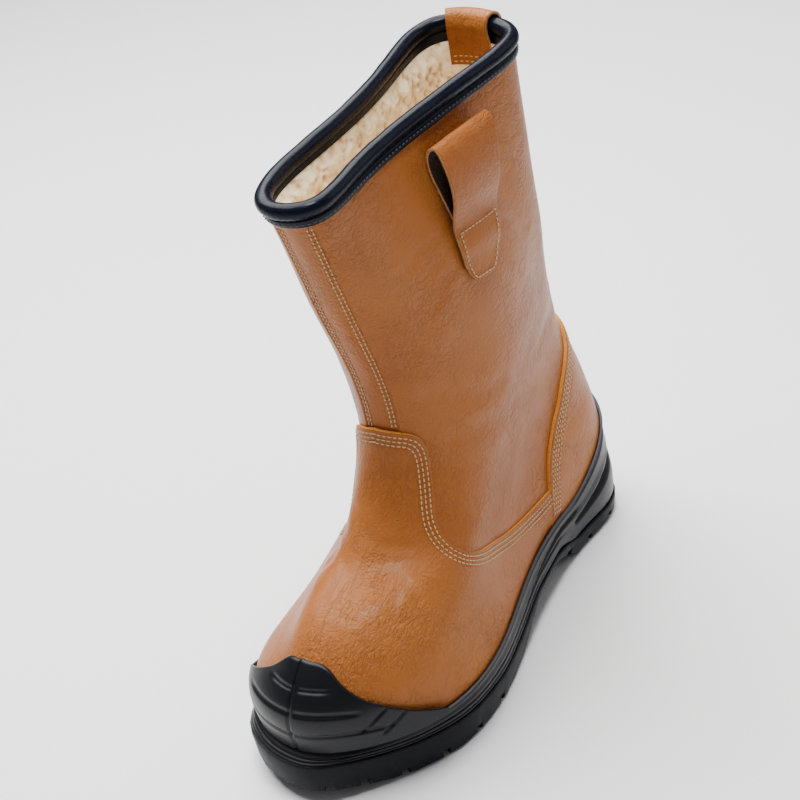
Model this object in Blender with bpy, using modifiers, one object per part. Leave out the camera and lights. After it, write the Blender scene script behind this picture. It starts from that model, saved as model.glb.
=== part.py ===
"""Rigger boot for the left foot: a slip-on safety boot with a tall shaft, standing empty.

Sizes in this file are in millimetres, and MM turns them into metres where a mesh is made.
The toe points along -Y, the wearer's left (the outer side) along +X, and the ground is z = 0.

The upper is one surface of a turn u and a level. The turn runs once around the foot: 0 at the
back of the heel, 0.25 on the outer side, 0.5 at the toe and 0.75 on the inner side. The level
counts the rows of LEVELS, from the edge that is lasted under to the collar. Each level is a
slanted ring, because its front moves from the toe up the instep while its back climbs the heel.
The overlays, the toe cap, the sole's cup, the collar binding and the loops all come from that
same surface, each at its own distance from it.
"""
import math

import bmesh
import bpy
import numpy as np

MM = 0.001
GAP = 0.35
OVERLAY_GAP = 0.5

# Driving sizes
SOLE_LENGTH = 308.0
WALL = 2.2
OVERLAY_THICKNESS = 1.4
LIP_THICKNESS = 1.3
INSOLE_THICKNESS = 4.0
INSOLE_CLEARANCE = 2.8
TREAD_DEPTH = 5.0
CENTRE_X = -3.7

# Half widths are given at these fractions of a ring's length, from its back to its front
STATIONS = np.array([0.08, 0.30, 0.50, 0.70, 0.92])

# Columns: name, back y and z, front y and z, five outer and five inner half widths
LEVELS = (
    ("lasted edge", 143, 35, -140, 26, 33, 36, 43, 54, 34, 33, 32, 33, 43, 36),
    ("feather line", 146, 42, -143, 31, 35, 39, 46, 58, 38, 35, 34, 35, 46, 40),
    ("side wall", 146, 59, -146, 50, 36, 38, 42, 53, 36, 36, 34, 36, 43, 37),
    ("toe top", 144, 75, -134, 68, 34, 36, 38, 48, 33, 35, 33, 37, 36, 22),
    ("toe box back", 142, 86, -112, 83, 31, 35, 37, 43, 29, 34, 33, 36, 30, 17),
    ("vamp", 138, 100, -78, 95, 28, 34, 36, 40, 25, 33, 33, 36, 29, 15),
    ("instep", 131, 119, -52, 122, 25, 34, 37, 38, 23, 32, 34, 37, 32, 17),
    ("throat", 121, 145, -43, 149, 25, 36, 40, 38, 22, 33, 38, 39, 34, 18),
    ("ankle", 113, 178, -46, 182, 27, 38, 42, 37, 20, 34, 40, 41, 37, 20),
    ("shaft", 104, 222, -61, 228, 32, 40, 41, 34, 18, 30, 37, 38, 32, 20),
    ("collar", 95, 316, -85, 293, 34, 30, 22, 17, 17, 20, 18, 16, 19, 18),
)
LAST_LEVEL = len(LEVELS) - 1
FEATHER = 1.0
SHAFT_LEVEL = 9.0
SHAFT_LEVEL_Z = 226.0
LEVEL_RISE = 86.0

# Columns: name, fraction of the sole's length from the heel, outer and inner half width
SOLE_PLAN = (
    ("heel back", 0.08, 41, 40),
    ("heel", 0.22, 42.5, 41),
    ("waist back", 0.40, 46, 37),
    ("waist", 0.54, 53, 39),
    ("ball", 0.68, 60, 49),
    ("joint", 0.80, 56, 54),
    ("toe", 0.93, 31, 43),
)

# Columns: name, y, height of the tread, height of the line between outsole and midsole
SOLE_SIDE = (
    ("toe", -154, 6.5, 24),
    ("forefoot front", -112, 0, 19),
    ("forefoot back", -22, 0, 15),
    ("arch front", 22, 12, 20),
    ("arch back", 52, 14, 20),
    ("heel front", 77, 0, 12),
    ("heel back", 148, 0, 11),
    ("heel end", 154, 1.5, 11),
)

# Columns: name, turn away from the middle of the toe, level of the toe cap's upper edge
CAP_EDGE = (
    ("seam", 0.0, 3.25),
    ("shoulder", 0.038, 3.06),
    ("hollow", 0.057, 2.65),
    ("hollow", 0.075, 2.28),
    ("wing", 0.092, 1.97),
    ("wing", 0.112, 1.55),
    ("tip", 0.131, 1.16),
)

CAP_EDGE_THICKNESS = 1.3
CAP_THICKENING = 2.2

# Columns: name, y and z along the vamp's upper edge, in side view from the tab to the counter
VAMP_OUTLINE = (
    ("above the tab", -72, 157.0),
    ("tab front", -44, 153.5),
    ("tab side", -38, 150.5),
    ("tab corner", -32, 146.0),
    ("tab back", -30, 139.0),
    ("tab back", -32, 127.0),
    ("throat", -39, 110.0),
    ("throat", -44, 97.0),
    ("flare", -43.5, 87.0),
    ("wing", -32, 79.0),
    ("wing", -8, 69.5),
    ("quarter", 22, 63.0),
    ("rear", 56.4, 62.0),
)
VAMP_FOOT = (51.0, 20.0)

# Columns: name, y and z along the counter's edge, in side view from the sole to the back
COUNTER_OUTLINE = (
    ("foot", 52.7, 20.0),
    ("side", 58.2, 62.0),
    ("side", 67.5, 83.0),
    ("shoulder", 80.0, 98.5),
    ("shoulder", 96.0, 113.0),
    ("crown side", 110.0, 123.0),
    ("crown", 124.0, 130.5),
    ("crown", 160.0, 134.0),
)

# Columns: name, distance out from the upper, height along it from the binding's top
BINDING_SECTION = (
    ("flange foot", 0.5, -10.4),
    ("flange edge", 1.7, -10.0),
    ("flange top", 1.7, -6.2),
    ("groove", 1.1, -5.2),
    ("roll side", 2.8, -2.6),
    ("roll shoulder", 1.9, 0.7),
    ("roll top", -1.0, 1.8),
    ("roll shoulder", -3.9, 0.7),
    ("roll side", -4.9, -2.4),
    ("facing top", -3.8, -5.4),
    ("facing foot", -3.7, -12.0),
    ("channel foot", -2.8, -12.0),
    ("channel top", -2.8, -0.5),
    ("channel top", 0.5, -0.5),
)
UPPER_BELOW_ROLL = 1.0
UPPER_COLUMNS = 42
FOOT_ROWS = np.append(np.arange(0.0, 2.0, 0.5), np.linspace(2.0, 7.5, 11))
SHAFT_ROWS = (8.2, 8.9, 9.84)
SOLE_COLUMNS = 60
HALF_REACH = 90.0

# Columns: name, distance out from the upper, height along it above the loop's foot, half width
LOOP_PATH = (
    ("hidden end", 0.4, 27, 16.5),
    ("inner leg", 0.4, 43, 17.8),
    ("inner leg", 0.4, 57, 18.8),
    ("inner leg", 0.5, 68, 19.6),
    ("fold", 1.8, 77, 20.0),
    ("fold", 5.0, 82.5, 20.2),
    ("fold", 9.2, 83.5, 20.2),
    ("fold", 12.2, 79, 20.0),
    ("outer leg", 12.8, 71, 19.4),
    ("outer leg", 11.8, 61, 18.4),
    ("outer leg", 9.2, 52, 17.8),
    ("outer leg", 6.0, 45, 17.4),
    ("patch top", 4.1, 38, 17.2),
    ("patch", 3.9, 26, 16.0),
    ("patch", 2.3, 16, 14.0),
    ("patch", 1.9, 7, 10.8),
    ("patch foot", 1.9, 0, 6.6),
)
LOOP_TURN = 0.252
LOOP_TILT = -0.019
LOOP_PIVOT = 40.0
LOOP_FOOT_Z = 212.0
STRAP = 1.5

# Columns: name, distance out from the upper, height along it from the binding's top
TAB_PATH = (
    ("outer foot", 2.1, -30),
    ("outer leg", 2.4, -20),
    ("outer leg", 3.9, -11),
    ("roll side", 5.0, -5),
    ("roll side", 5.0, -1),
    ("roll top", 3.0, 3.3),
    ("roll top", -1.0, 4.7),
    ("roll top", -5.0, 3.3),
    ("roll side", -7.2, -1),
    ("inner leg", -7.2, -5),
    ("inner leg", -6.0, -11),
    ("inner foot", -6.0, -24),
)
TAB_HALF_TURN = 0.036

# Columns: name, turn of each notch in the edge of the tread on the outer and the inner side
NOTCHES = (
    ("heel corner", 0.115, 0.885),
    ("heel side", 0.150, 0.850),
    ("heel front", 0.180, 0.820),
    ("forefoot back", 0.305, 0.695),
    ("ball back", 0.333, 0.667),
    ("ball", 0.362, 0.638),
    ("ball front", 0.392, 0.608),
    ("toe side", 0.425, 0.575),
    ("toe", 0.462, 0.538),
)
NOTCH_WIDTH = 4.5
NOTCH_REACH = 15.0

# Columns: name, middle x and y, half length across and along, first angle and sweep of each
# oval channel in the tread
CHANNELS = (
    ("forefoot", 1.0, -78.0, 34.0, 50.0, 0.0, 360.0),
    ("toe arc", -1.0, -78.0, 44.0, 65.0, 208.0, 124.0),
    ("heel outer arc", 0.5, 106.0, 31.0, 37.5, -25.0, 230.0),
    ("heel inner arc", 0.5, 106.0, 19.0, 23.0, -25.0, 230.0),
)
CHANNEL_WIDTH = 3.6
CHANNEL_STEP = 12.0

# Columns: name, middle x and y, half length and angle of each groove across the tread's centre
BARS = (
    ("toe bar", -1.0, -108.0, 25.0, 8.0),
    ("ball bar", 1.0, -88.0, 32.0, 8.0),
    ("tread bar", 1.0, -67.0, 32.0, 8.0),
    ("back bar", 1.0, -47.0, 25.0, 8.0),
)
BAR_WIDTH = 4.0

LEATHER = ("tan leather", (0.45, 0.19, 0.07, 1.0), 0.42)
EDGE_LEATHER = ("tan strap leather", (0.52, 0.24, 0.09, 1.0), 0.45)
RUBBER = ("black sole rubber", (0.016, 0.016, 0.022, 1.0), 0.48)
BINDING = ("black binding", (0.012, 0.013, 0.022, 1.0), 0.30)
SOCK = ("insole board", (0.30, 0.25, 0.19, 1.0), 0.90)


def smooth(x, xs, ys, flat=False):
    """A smooth curve through the values ys at xs, level at every one of them when flat."""
    xs = np.asarray(xs, float)
    ys = np.asarray(ys, float)
    slopes = np.gradient(ys, xs, axis=0) * (0.0 if flat else 1.0)
    cell = np.clip(np.searchsorted(xs, x, side="right") - 1, 0, len(xs) - 2)
    width = xs[cell + 1] - xs[cell]
    t = (x - xs[cell]) / width
    if flat:
        t = np.clip(t, 0.0, 1.0)
    if ys.ndim > 1:
        t = t[..., None]
        width = width[..., None]
    rise = t * t * (3.0 - 2.0 * t)
    start = t * (1.0 - t) ** 2
    end = t * t * (t - 1.0)
    return (ys[cell] * (1.0 - rise) + ys[cell + 1] * rise
            + width * (slopes[cell] * start + slopes[cell + 1] * end))


def columns(rows, first, last):
    """The named rows' columns from first up to last, as an array."""
    return np.array([row[first:last] for row in rows], float)


def through_stations(fraction):
    """How much each station's half width counts at a fraction of the ring's length."""
    weights = []
    for here, station in enumerate(STATIONS):
        others = np.delete(STATIONS, here)
        weights.append(np.prod([(fraction - o) / (station - o) for o in others], axis=0))
    return np.stack(weights, axis=-1)


def upper_surface(turn, level):
    """Points on the upper's outer face."""
    turn, level = np.broadcast_arrays(np.asarray(turn, float), np.asarray(level, float))
    row = smooth(level, np.arange(len(LEVELS)), columns(LEVELS, 1, 15))
    fraction = 0.5 - 0.5 * np.cos(2.0 * np.pi * turn)
    swing = np.sin(2.0 * np.pi * turn)
    fullness = 2.0 * np.sqrt(STATIONS * (1.0 - STATIONS))
    weights = through_stations(fraction) / fullness
    outer = (row[..., 4:9] * weights).sum(axis=-1)
    inner = (row[..., 9:14] * weights).sum(axis=-1)
    x = np.where(swing >= 0.0, outer, inner) * swing
    y = row[..., 0] + (row[..., 2] - row[..., 0]) * fraction
    z = row[..., 1] + (row[..., 3] - row[..., 1]) * fraction
    return np.stack([x, y, z], axis=-1)


def upper_normal(turn, level):
    """Unit vectors that point out of the upper."""
    step = 0.002
    along = upper_surface(turn + step, level) - upper_surface(turn - step, level)
    up = upper_surface(turn, level + step * 10) - upper_surface(turn, level - step * 10)
    normal = np.cross(up, along)
    return normal / np.linalg.norm(normal, axis=-1, keepdims=True)


def on_upper(turn, level, out=0.0):
    """Points at a distance out from the upper's outer face."""
    turn, level = np.broadcast_arrays(np.asarray(turn, float), np.asarray(level, float))
    out = np.broadcast_to(np.asarray(out, float), turn.shape)
    return upper_surface(turn, level) + upper_normal(turn, level) * out[..., None]


def sole_plan(turn, out=0.0):
    """The sole's outline seen from below, moved out by a distance."""
    plan = columns(SOLE_PLAN, 1, 4)
    fullness = 2.0 * np.sqrt(plan[:, 0] * (1.0 - plan[:, 0]))

    def outline(at):
        fraction = 0.5 - 0.5 * np.cos(2.0 * np.pi * at)
        swing = np.sin(2.0 * np.pi * at)
        widths = smooth(fraction, plan[:, 0], plan[:, 1:] / fullness[:, None])
        x = np.where(swing >= 0.0, widths[..., 0], widths[..., 1]) * swing
        return np.stack([x, SOLE_LENGTH / 2 * np.cos(2.0 * np.pi * at)], axis=-1)

    along = outline(turn + 0.002) - outline(turn - 0.002)
    sideways = np.stack([-along[..., 1], along[..., 0]], axis=-1)
    sideways /= np.linalg.norm(sideways, axis=-1, keepdims=True)
    return outline(turn) + sideways * np.asarray(out, float)[..., None]


def sole_height(y, column):
    """The height in a column of SOLE_SIDE at each y."""
    table = columns(SOLE_SIDE, 1, 4)
    return smooth(y, table[:, 0], table[:, column], flat=True)


def lip_level(turn):
    """Level of the top of the sole's cup, which climbs the back of the heel."""
    start, reach, climb, rise_per_level = 78.0, 72.0, 29.0, 17.0
    y = SOLE_LENGTH / 2 * np.cos(2.0 * np.pi * np.asarray(turn, float))
    return FEATHER + climb / rise_per_level * (np.clip((y - start) / reach, 0.0, 1.0)) ** 1.25


def dip(value, middle, half):
    """A soft dip: 1 in the middle and 0 beyond half on either side."""
    t = np.clip(np.abs(value - middle) / half, 0.0, 1.0)
    return (1.0 - t * t) ** 2


def side_relief(turn, rise):
    """How far the midsole's side stands out, by turn and by rise from 0 to 1."""
    from_heel = np.minimum(turn % 1.0, 1.0 - turn % 1.0)
    groove = 2.2 * dip(rise, 0.38, 0.10) * np.clip((from_heel - 0.17) / 0.04, 0.0, 1.0)
    ridge = 0.9 * dip(rise, 0.56, 0.16)
    bulge = 1.0 * dip(rise, 0.30, 0.30) * np.clip((0.16 - from_heel) / 0.05, 0.0, 1.0)
    teardrop = 2.4 * dip(rise, 0.46, 0.20) * dip(from_heel, 0.115, 0.062)
    foot = 0.7 * dip(rise, 0.0, 0.12)
    return ridge + bulge - groove - teardrop - foot


def ring(turn, plan_out, heights):
    """A closed ring on the sole's outline, at heights that may change along it."""
    flat_ring = sole_plan(turn, np.full(turn.shape, float(plan_out)))
    return np.column_stack([flat_ring, heights])


def material(description):
    """The principled material of a description: name, colour and roughness."""
    name, colour, roughness = description
    made = bpy.data.materials.get(name) or bpy.data.materials.new(name)
    made.use_nodes = True
    made.diffuse_color = colour
    shader = made.node_tree.nodes["Principled BSDF"]
    shader.inputs["Base Color"].default_value = colour
    shader.inputs["Roughness"].default_value = roughness
    shader.inputs["Metallic"].default_value = 0.0
    return made


def add_object(name, shape, description, collection):
    """Turn a bmesh into a named object of the collection."""
    mesh = bpy.data.meshes.new(name)
    shape.to_mesh(mesh)
    shape.free()
    made = bpy.data.objects.new(name, mesh)
    made.parent = bpy.data.objects["centre"]
    collection.objects.link(made)
    if description:
        mesh.materials.append(material(description))
        mesh.shade_smooth()
        mesh.set_sharp_from_angle(angle=math.radians(40))
    return made


def grid_faces(shape, points, wrap_rows=False, wrap_columns=False):
    """Join a grid of points with faces and give back its vertices."""
    rows, count = points.shape[:2]
    vertices = [[shape.verts.new(p) for p in line] for line in points * MM]
    for i in range(rows if wrap_rows else rows - 1):
        for j in range(count if wrap_columns else count - 1):
            below, above = vertices[i], vertices[(i + 1) % rows]
            right = (j + 1) % count
            shape.faces.new((below[j], above[j], above[right], below[right]))
    return vertices


def cap_across(shape, line):
    """Close a ring with strips from its outer side to its inner side."""
    count = len(line)
    for j in range(count // 2):
        corners = [line[j], line[j + 1], line[(count - j - 1) % count], line[(count - j) % count]]
        shape.faces.new(list(dict.fromkeys(corners)))


def closed_rings(rings):
    """A solid from rings one above another, closed across at both ends."""
    shape = bmesh.new()
    vertices = grid_faces(shape, np.stack(rings), wrap_columns=True)
    cap_across(shape, vertices[0])
    cap_across(shape, vertices[-1])
    bmesh.ops.recalc_face_normals(shape, faces=shape.faces)
    return shape


def add_sheet(name, points, thickness, description, collection, closed=False):
    """A wall of even thickness that grows outward from a grid of points."""
    shape = bmesh.new()
    grid_faces(shape, points, wrap_columns=closed)
    made = add_object(name, shape, description, collection)
    wall = made.modifiers.new("wall", "SOLIDIFY")
    wall.thickness = thickness * MM
    wall.offset = 1.0
    wall.use_even_offset = True
    return made


def make_upper(collection):
    """Foot and shaft as one hollow wall, open at the collar and underneath."""
    turn = np.arange(UPPER_COLUMNS) / UPPER_COLUMNS
    level = np.concatenate([FOOT_ROWS, SHAFT_ROWS, [LAST_LEVEL - UPPER_BELOW_ROLL / LEVEL_RISE]])
    inside = on_upper(turn[None, :], level[:, None], -WALL)
    add_sheet("upper", inside, WALL, LEATHER, collection, closed=True)


def side_cutter(name, outline, corners, collection):
    """A block as wide as the boot, bounded in side view by an outline and the far corners."""
    points = columns(outline, 1, 3)
    travel = np.append(0.0, np.cumsum(np.hypot(*np.diff(points, axis=0).T)))
    edge = smooth(np.linspace(0.0, travel[-1], 3 * len(outline)), travel, points)
    profile = np.concatenate([edge, np.array(corners, float)])
    shape = bmesh.new()
    sides = []
    for x in (-HALF_REACH, HALF_REACH):
        sides.append([shape.verts.new((x * MM, y * MM, z * MM)) for y, z in profile])
    for j in range(len(profile)):
        after = (j + 1) % len(profile)
        shape.faces.new((sides[0][j], sides[0][after], sides[1][after], sides[1][j]))
    shape.faces.new(sides[0])
    shape.faces.new(sides[1])
    return add_cutter(name, shape, collection)


def add_overlay(name, columns_used, cutter, collection):
    """A second wall over the upper, cut to the outline of its cutter."""
    turn = np.array(columns_used) / UPPER_COLUMNS
    level = FOOT_ROWS[1:]
    points = on_upper(turn[None, :], level[:, None], OVERLAY_GAP)
    add_sheet(name, points, OVERLAY_THICKNESS, LEATHER, collection)
    cut = bpy.data.objects[name].modifiers.new("outline", "BOOLEAN")
    cut.operation = "INTERSECT"
    cut.object = cutter


def make_vamp(collection, cutters):
    """The overlay from the toe to the quarters, with its tab up the instep."""
    corners = (VAMP_FOOT, (-HALF_REACH * 2, VAMP_FOOT[1]), (-HALF_REACH * 2, VAMP_OUTLINE[0][2]))
    cutter = side_cutter("vamp_outline", VAMP_OUTLINE, corners, cutters)
    add_overlay("vamp", range(7, UPPER_COLUMNS - 6), cutter, collection)


def make_counter(collection, cutters):
    """The overlay around the back of the heel, with a rounded crown."""
    corners = ((HALF_REACH * 2, COUNTER_OUTLINE[-1][2]), (HALF_REACH * 2, COUNTER_OUTLINE[0][2]))
    cutter = side_cutter("counter_outline", COUNTER_OUTLINE, corners, cutters)
    add_overlay("counter", range(-10, 11), cutter, collection)


def make_scuff_cap(collection):
    """The rubber cap over the toe, thick at the sole and thin at its upper edge."""
    edge = columns(CAP_EDGE, 1, 3)
    half = np.append(np.arange(6) / UPPER_COLUMNS, edge[-1, 0])
    away = np.concatenate([-half[:0:-1], half])
    turn = 0.5 + away
    top = smooth(np.abs(away), edge[:, 0], edge[:, 1])
    share = np.linspace(0.0, 1.0, 7)[:, None]
    foot = FEATHER + 0.03
    level = foot + (top - foot) * share
    seat = OVERLAY_GAP + OVERLAY_THICKNESS + 2.2 * GAP
    thickness = CAP_EDGE_THICKNESS + CAP_THICKENING * np.clip((2.6 - level) / 1.6, 0.0, 1.0)
    turns = turn[None, :] + 0 * share
    inside = on_upper(turns, level, seat)
    outside = on_upper(turns, level, seat + thickness)
    shape = bmesh.new()
    vertices = grid_faces(shape, np.concatenate([inside, outside[::-1]]), wrap_rows=True)
    count = len(vertices)
    for j in (0, len(away) - 1):
        for i in range(len(share) - 1):
            here, over = vertices[i], vertices[i + 1]
            far, far_over = vertices[count - 1 - i], vertices[count - 2 - i]
            shape.faces.new((here[j], over[j], far_over[j], far[j]))
    bmesh.ops.recalc_face_normals(shape, faces=shape.faces)
    add_object("scuff_cap", shape, RUBBER, collection)


def make_midsole(collection):
    """The layer between outsole and upper: a cup with a lip, side steps and a heel spur."""
    turn = np.arange(SOLE_COLUMNS) / SOLE_COLUMNS
    y = SOLE_LENGTH / 2 * np.cos(2.0 * np.pi * turn)
    foot = ring(turn, 0.0, sole_height(y, 2) + GAP)
    lip = lip_level(turn)
    cup = OVERLAY_GAP + OVERLAY_THICKNESS + 2 * GAP
    brim = on_upper(turn, lip, cup + LIP_THICKNESS)
    outward = brim - on_upper(turn, lip, cup)
    outward /= np.linalg.norm(outward, axis=-1, keepdims=True)
    rings = [ring(turn, -6.0, sole_height(y, 2) + GAP)]
    for rise in (0.0, 0.14, 0.28, 0.38, 0.48, 0.60, 0.82):
        relief = side_relief(turn, np.full(turn.shape, rise))
        rings.append(foot + (brim - foot) * rise + outward * relief[:, None])
    rings.append(brim)
    rings.append(on_upper(turn, lip, cup))
    rings.extend(on_upper(turn, share * lip, cup) for share in (0.75, 0.5, 0.25))
    seat = on_upper(turn, 0.0, cup)
    seat[:, 2] = upper_surface(turn, 0.0)[:, 2] - 2 * GAP
    rings.append(seat)
    add_object("midsole", closed_rings(rings), RUBBER, collection)


def make_insole(collection):
    """The board and sock inside the upper, on the midsole."""
    turn = np.arange(56) / 56.0
    edge = on_upper(turn, 0.02, -WALL - INSOLE_CLEARANCE)
    bottom = edge.copy()
    bottom[:, 2] = upper_surface(turn, 0.0)[:, 2] + 0.1
    top = on_upper(turn, 0.45, -WALL - INSOLE_CLEARANCE)
    top[:, 2] = bottom[:, 2] + INSOLE_THICKNESS
    add_object("insole", closed_rings([bottom, top]), SOCK, collection)


def box(shape, middle, size, angle):
    """A box turned about the vertical, added to a bmesh."""
    made = bmesh.ops.create_cube(shape, size=1.0)["verts"]
    cosine, sine = math.cos(angle), math.sin(angle)
    for vertex in made:
        x, y, z = (c * s for c, s in zip(vertex.co, size))
        vertex.co = ((middle[0] + x * cosine - y * sine) * MM,
                     (middle[1] + x * sine + y * cosine) * MM,
                     (middle[2] + z) * MM)


def add_cutter(name, shape, collection):
    """An object that only cuts."""
    bmesh.ops.recalc_face_normals(shape, faces=shape.faces)
    made = add_object(name, shape, None, collection)
    made.display_type = "WIRE"
    made.hide_render = True
    return made


def edge_notches(collection):
    """Cuts across the edge of the tread, which part it into lugs."""
    shape = bmesh.new()
    for row in NOTCHES:
        for turn in row[1:]:
            outer = sole_plan(np.array([turn]), np.array([6.0]))[0]
            inner = sole_plan(np.array([turn]), np.array([-NOTCH_REACH]))[0]
            middle = (outer + inner) / 2
            run = outer - inner
            floor = sole_height(middle[1], 1) + TREAD_DEPTH
            size = (np.hypot(*run), NOTCH_WIDTH, 2 * floor)
            box(shape, (middle[0], middle[1], 0.0), size, math.atan2(run[1], run[0]))
    return add_cutter("edge_notches", shape, collection)


def tread_channels(collection):
    """Oval channels and arcs inside the rows of edge lugs, one cutter for each of them."""
    made = []
    for name, x, y, across, along, first, sweep in CHANNELS:
        shape = bmesh.new()
        whole = sweep >= 360.0
        steps = round(sweep / CHANNEL_STEP)
        turned = np.arange(steps if whole else steps + 1) * sweep / steps
        angle = np.radians(first + turned)
        rings = []
        for grow, top in ((0, False), (CHANNEL_WIDTH, False), (CHANNEL_WIDTH, True), (0, True)):
            ring_x = x + (across - grow) * np.cos(angle)
            ring_y = y + (along - grow) * np.sin(angle)
            height = sole_height(ring_y, 1) + TREAD_DEPTH if top else np.full(angle.shape, -5.0)
            rings.append(np.column_stack([ring_x, ring_y, height]))
        vertices = grid_faces(shape, np.stack(rings), wrap_rows=True, wrap_columns=whole)
        if not whole:
            shape.faces.new([line[0] for line in vertices])
            shape.faces.new([line[-1] for line in vertices])
        made.append(add_cutter(name.replace(" ", "_"), shape, collection))
    return made


def tread_bars(collection):
    """Grooves across the centre of the tread."""
    shape = bmesh.new()
    for name, x, y, half, tilt in BARS:
        floor = sole_height(np.array(y), 1) + TREAD_DEPTH - 0.6
        box(shape, (x, y, 0.0), (2 * half, BAR_WIDTH, 2 * floor), math.radians(tilt))
    return add_cutter("tread_bars", shape, collection)


def make_outsole(collection, cutters):
    """The tread unit with toe spring, arch, heel and lugs."""
    turn = np.arange(SOLE_COLUMNS) / SOLE_COLUMNS
    y = SOLE_LENGTH / 2 * np.cos(2.0 * np.pi * turn)
    ground = sole_height(y, 1)
    split = sole_height(y, 2)
    rings = [
        ring(turn, -2.0, ground),
        ring(turn, -0.6, ground + 1.4),
        ring(turn, 0.8, split - 1.2),
        ring(turn, 0.2, split),
    ]
    outsole = add_object("outsole", closed_rings(rings), RUBBER, collection)
    for cutter in [edge_notches(cutters), tread_bars(cutters)] + tread_channels(cutters):
        cut = outsole.modifiers.new(cutter.name, "BOOLEAN")
        cut.operation = "DIFFERENCE"
        cut.object = cutter


def along_collar(turn, out, height):
    """Points by distance out from the collar's rim and height along the shaft from it."""
    level = np.full(turn.shape, float(LAST_LEVEL))
    rim = upper_surface(turn, level)
    up = rim - upper_surface(turn, level - 0.15)
    up /= np.linalg.norm(up, axis=-1, keepdims=True)
    return rim + upper_normal(turn, level) * out + up * height


def make_collar_binding(collection):
    """The padded roll around the collar, with its flange outside and its facing inside."""
    turn = np.arange(UPPER_COLUMNS) / UPPER_COLUMNS
    section = columns(BINDING_SECTION, 1, 3)
    shape = bmesh.new()
    rings = np.stack([along_collar(turn, out, height) for out, height in section])
    grid_faces(shape, rings, wrap_rows=True, wrap_columns=True)
    bmesh.ops.recalc_face_normals(shape, faces=shape.faces)
    add_object("collar_binding", shape, BINDING, collection)


def make_back_tab(collection):
    """The strap over the binding at the centre of the back."""
    turn = np.linspace(-TAB_HALF_TURN, TAB_HALF_TURN, 5)
    path = columns(TAB_PATH, 1, 3)
    rows = np.stack([along_collar(turn, out, height) for out, height in path[::-1]])
    add_sheet("back_tab", rows, STRAP, EDGE_LEATHER, collection)


def make_pull_loop(name, middle, side, collection):
    """A strap folded into a loop, with both ends under one patch on the shaft."""
    out, height, half_width = columns(LOOP_PATH, 1, 4).T[:, :, None]
    across = np.linspace(-1.0, 1.0, 5)
    level = SHAFT_LEVEL + (LOOP_FOOT_Z + height - SHAFT_LEVEL_Z) / LEVEL_RISE
    nearby = upper_surface(np.array([middle, middle + 0.01]), 9.4)
    turn_per_mm = 0.01 / np.linalg.norm(nearby[1] - nearby[0])
    lean = side * LOOP_TILT * (height / LOOP_PIVOT - 1.0)
    points = on_upper(middle + across * half_width * turn_per_mm + lean, level, out)
    add_sheet(name, points, STRAP, EDGE_LEATHER, collection)


def main():
    for thing in list(bpy.data.objects):
        bpy.data.objects.remove(thing, do_unlink=True)
    boot = bpy.data.collections.new("rigger_boot")
    cutters = bpy.data.collections.new("cutters")
    bpy.context.scene.collection.children.link(boot)
    bpy.context.scene.collection.children.link(cutters)
    centre = bpy.data.objects.new("centre", None)
    centre.location.x = CENTRE_X * MM
    boot.objects.link(centre)
    make_outsole(boot, cutters)
    make_midsole(boot)
    make_insole(boot)
    make_upper(boot)
    make_vamp(boot, cutters)
    make_counter(boot, cutters)
    make_scuff_cap(boot)
    make_collar_binding(boot)
    make_back_tab(boot)
    make_pull_loop("pull_loop_lateral", LOOP_TURN, 1.0, boot)
    make_pull_loop("pull_loop_medial", 1.0 - LOOP_TURN, -1.0, boot)


main()
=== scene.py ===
"""Dresses the rigger boot: leather with creases and seams, stitches, fleece, padded collar and rubber.

Sizes in this file are in millimetres, and MM turns them into metres where a mesh is made. The toe
points along -Y and the wearer's left, the outer side of this boot, along +X.

Every fine surface comes from the boot's own two functions, which its solids follow. The upper is a
surface of a turn (0 at the back of the heel, 0.25 on the outer side, 0.5 at the toe) and a level
(the rows of LEVELS, from the lasted edge to the collar). The sole's outline is a curve of the turn.
"""
import math

import bmesh
import bpy
import numpy as np
from mathutils import Matrix


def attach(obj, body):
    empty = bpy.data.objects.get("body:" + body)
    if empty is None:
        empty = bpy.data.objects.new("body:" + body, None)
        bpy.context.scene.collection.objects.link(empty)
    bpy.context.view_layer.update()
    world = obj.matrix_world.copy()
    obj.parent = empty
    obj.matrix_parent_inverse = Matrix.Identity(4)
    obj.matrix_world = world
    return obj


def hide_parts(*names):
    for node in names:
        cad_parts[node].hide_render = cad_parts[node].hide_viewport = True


bl_info = {
    "name": "Rigger boot dressing",
    "version": (1, 0, 0),
    "blender": (4, 5, 0),
    "location": "View3D > Sidebar > Rigger boot",
    "description": "Builds the fine surfaces, stitches, fleece and materials of a rigger boot",
    "category": "Object",
}

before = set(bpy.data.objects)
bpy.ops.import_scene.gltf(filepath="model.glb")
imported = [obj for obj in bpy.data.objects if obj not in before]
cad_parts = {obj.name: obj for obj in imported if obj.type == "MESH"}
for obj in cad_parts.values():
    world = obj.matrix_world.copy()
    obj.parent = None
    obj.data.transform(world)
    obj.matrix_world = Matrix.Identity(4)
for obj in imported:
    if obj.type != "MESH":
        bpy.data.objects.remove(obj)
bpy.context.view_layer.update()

MM = 0.001
CENTRE_X = -3.7
SOLE_LENGTH = 308.0
WALL = 2.2
UNDER_OVERLAY = -0.6
RELIEF_MOST = 0.9
LIP_THICKNESS = 1.3
CUP_OUT = 2.6
CAP_OUT = 2.67
CAP_FOOT = 1.01
STATIONS = np.array([0.08, 0.30, 0.50, 0.70, 0.92])

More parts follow.
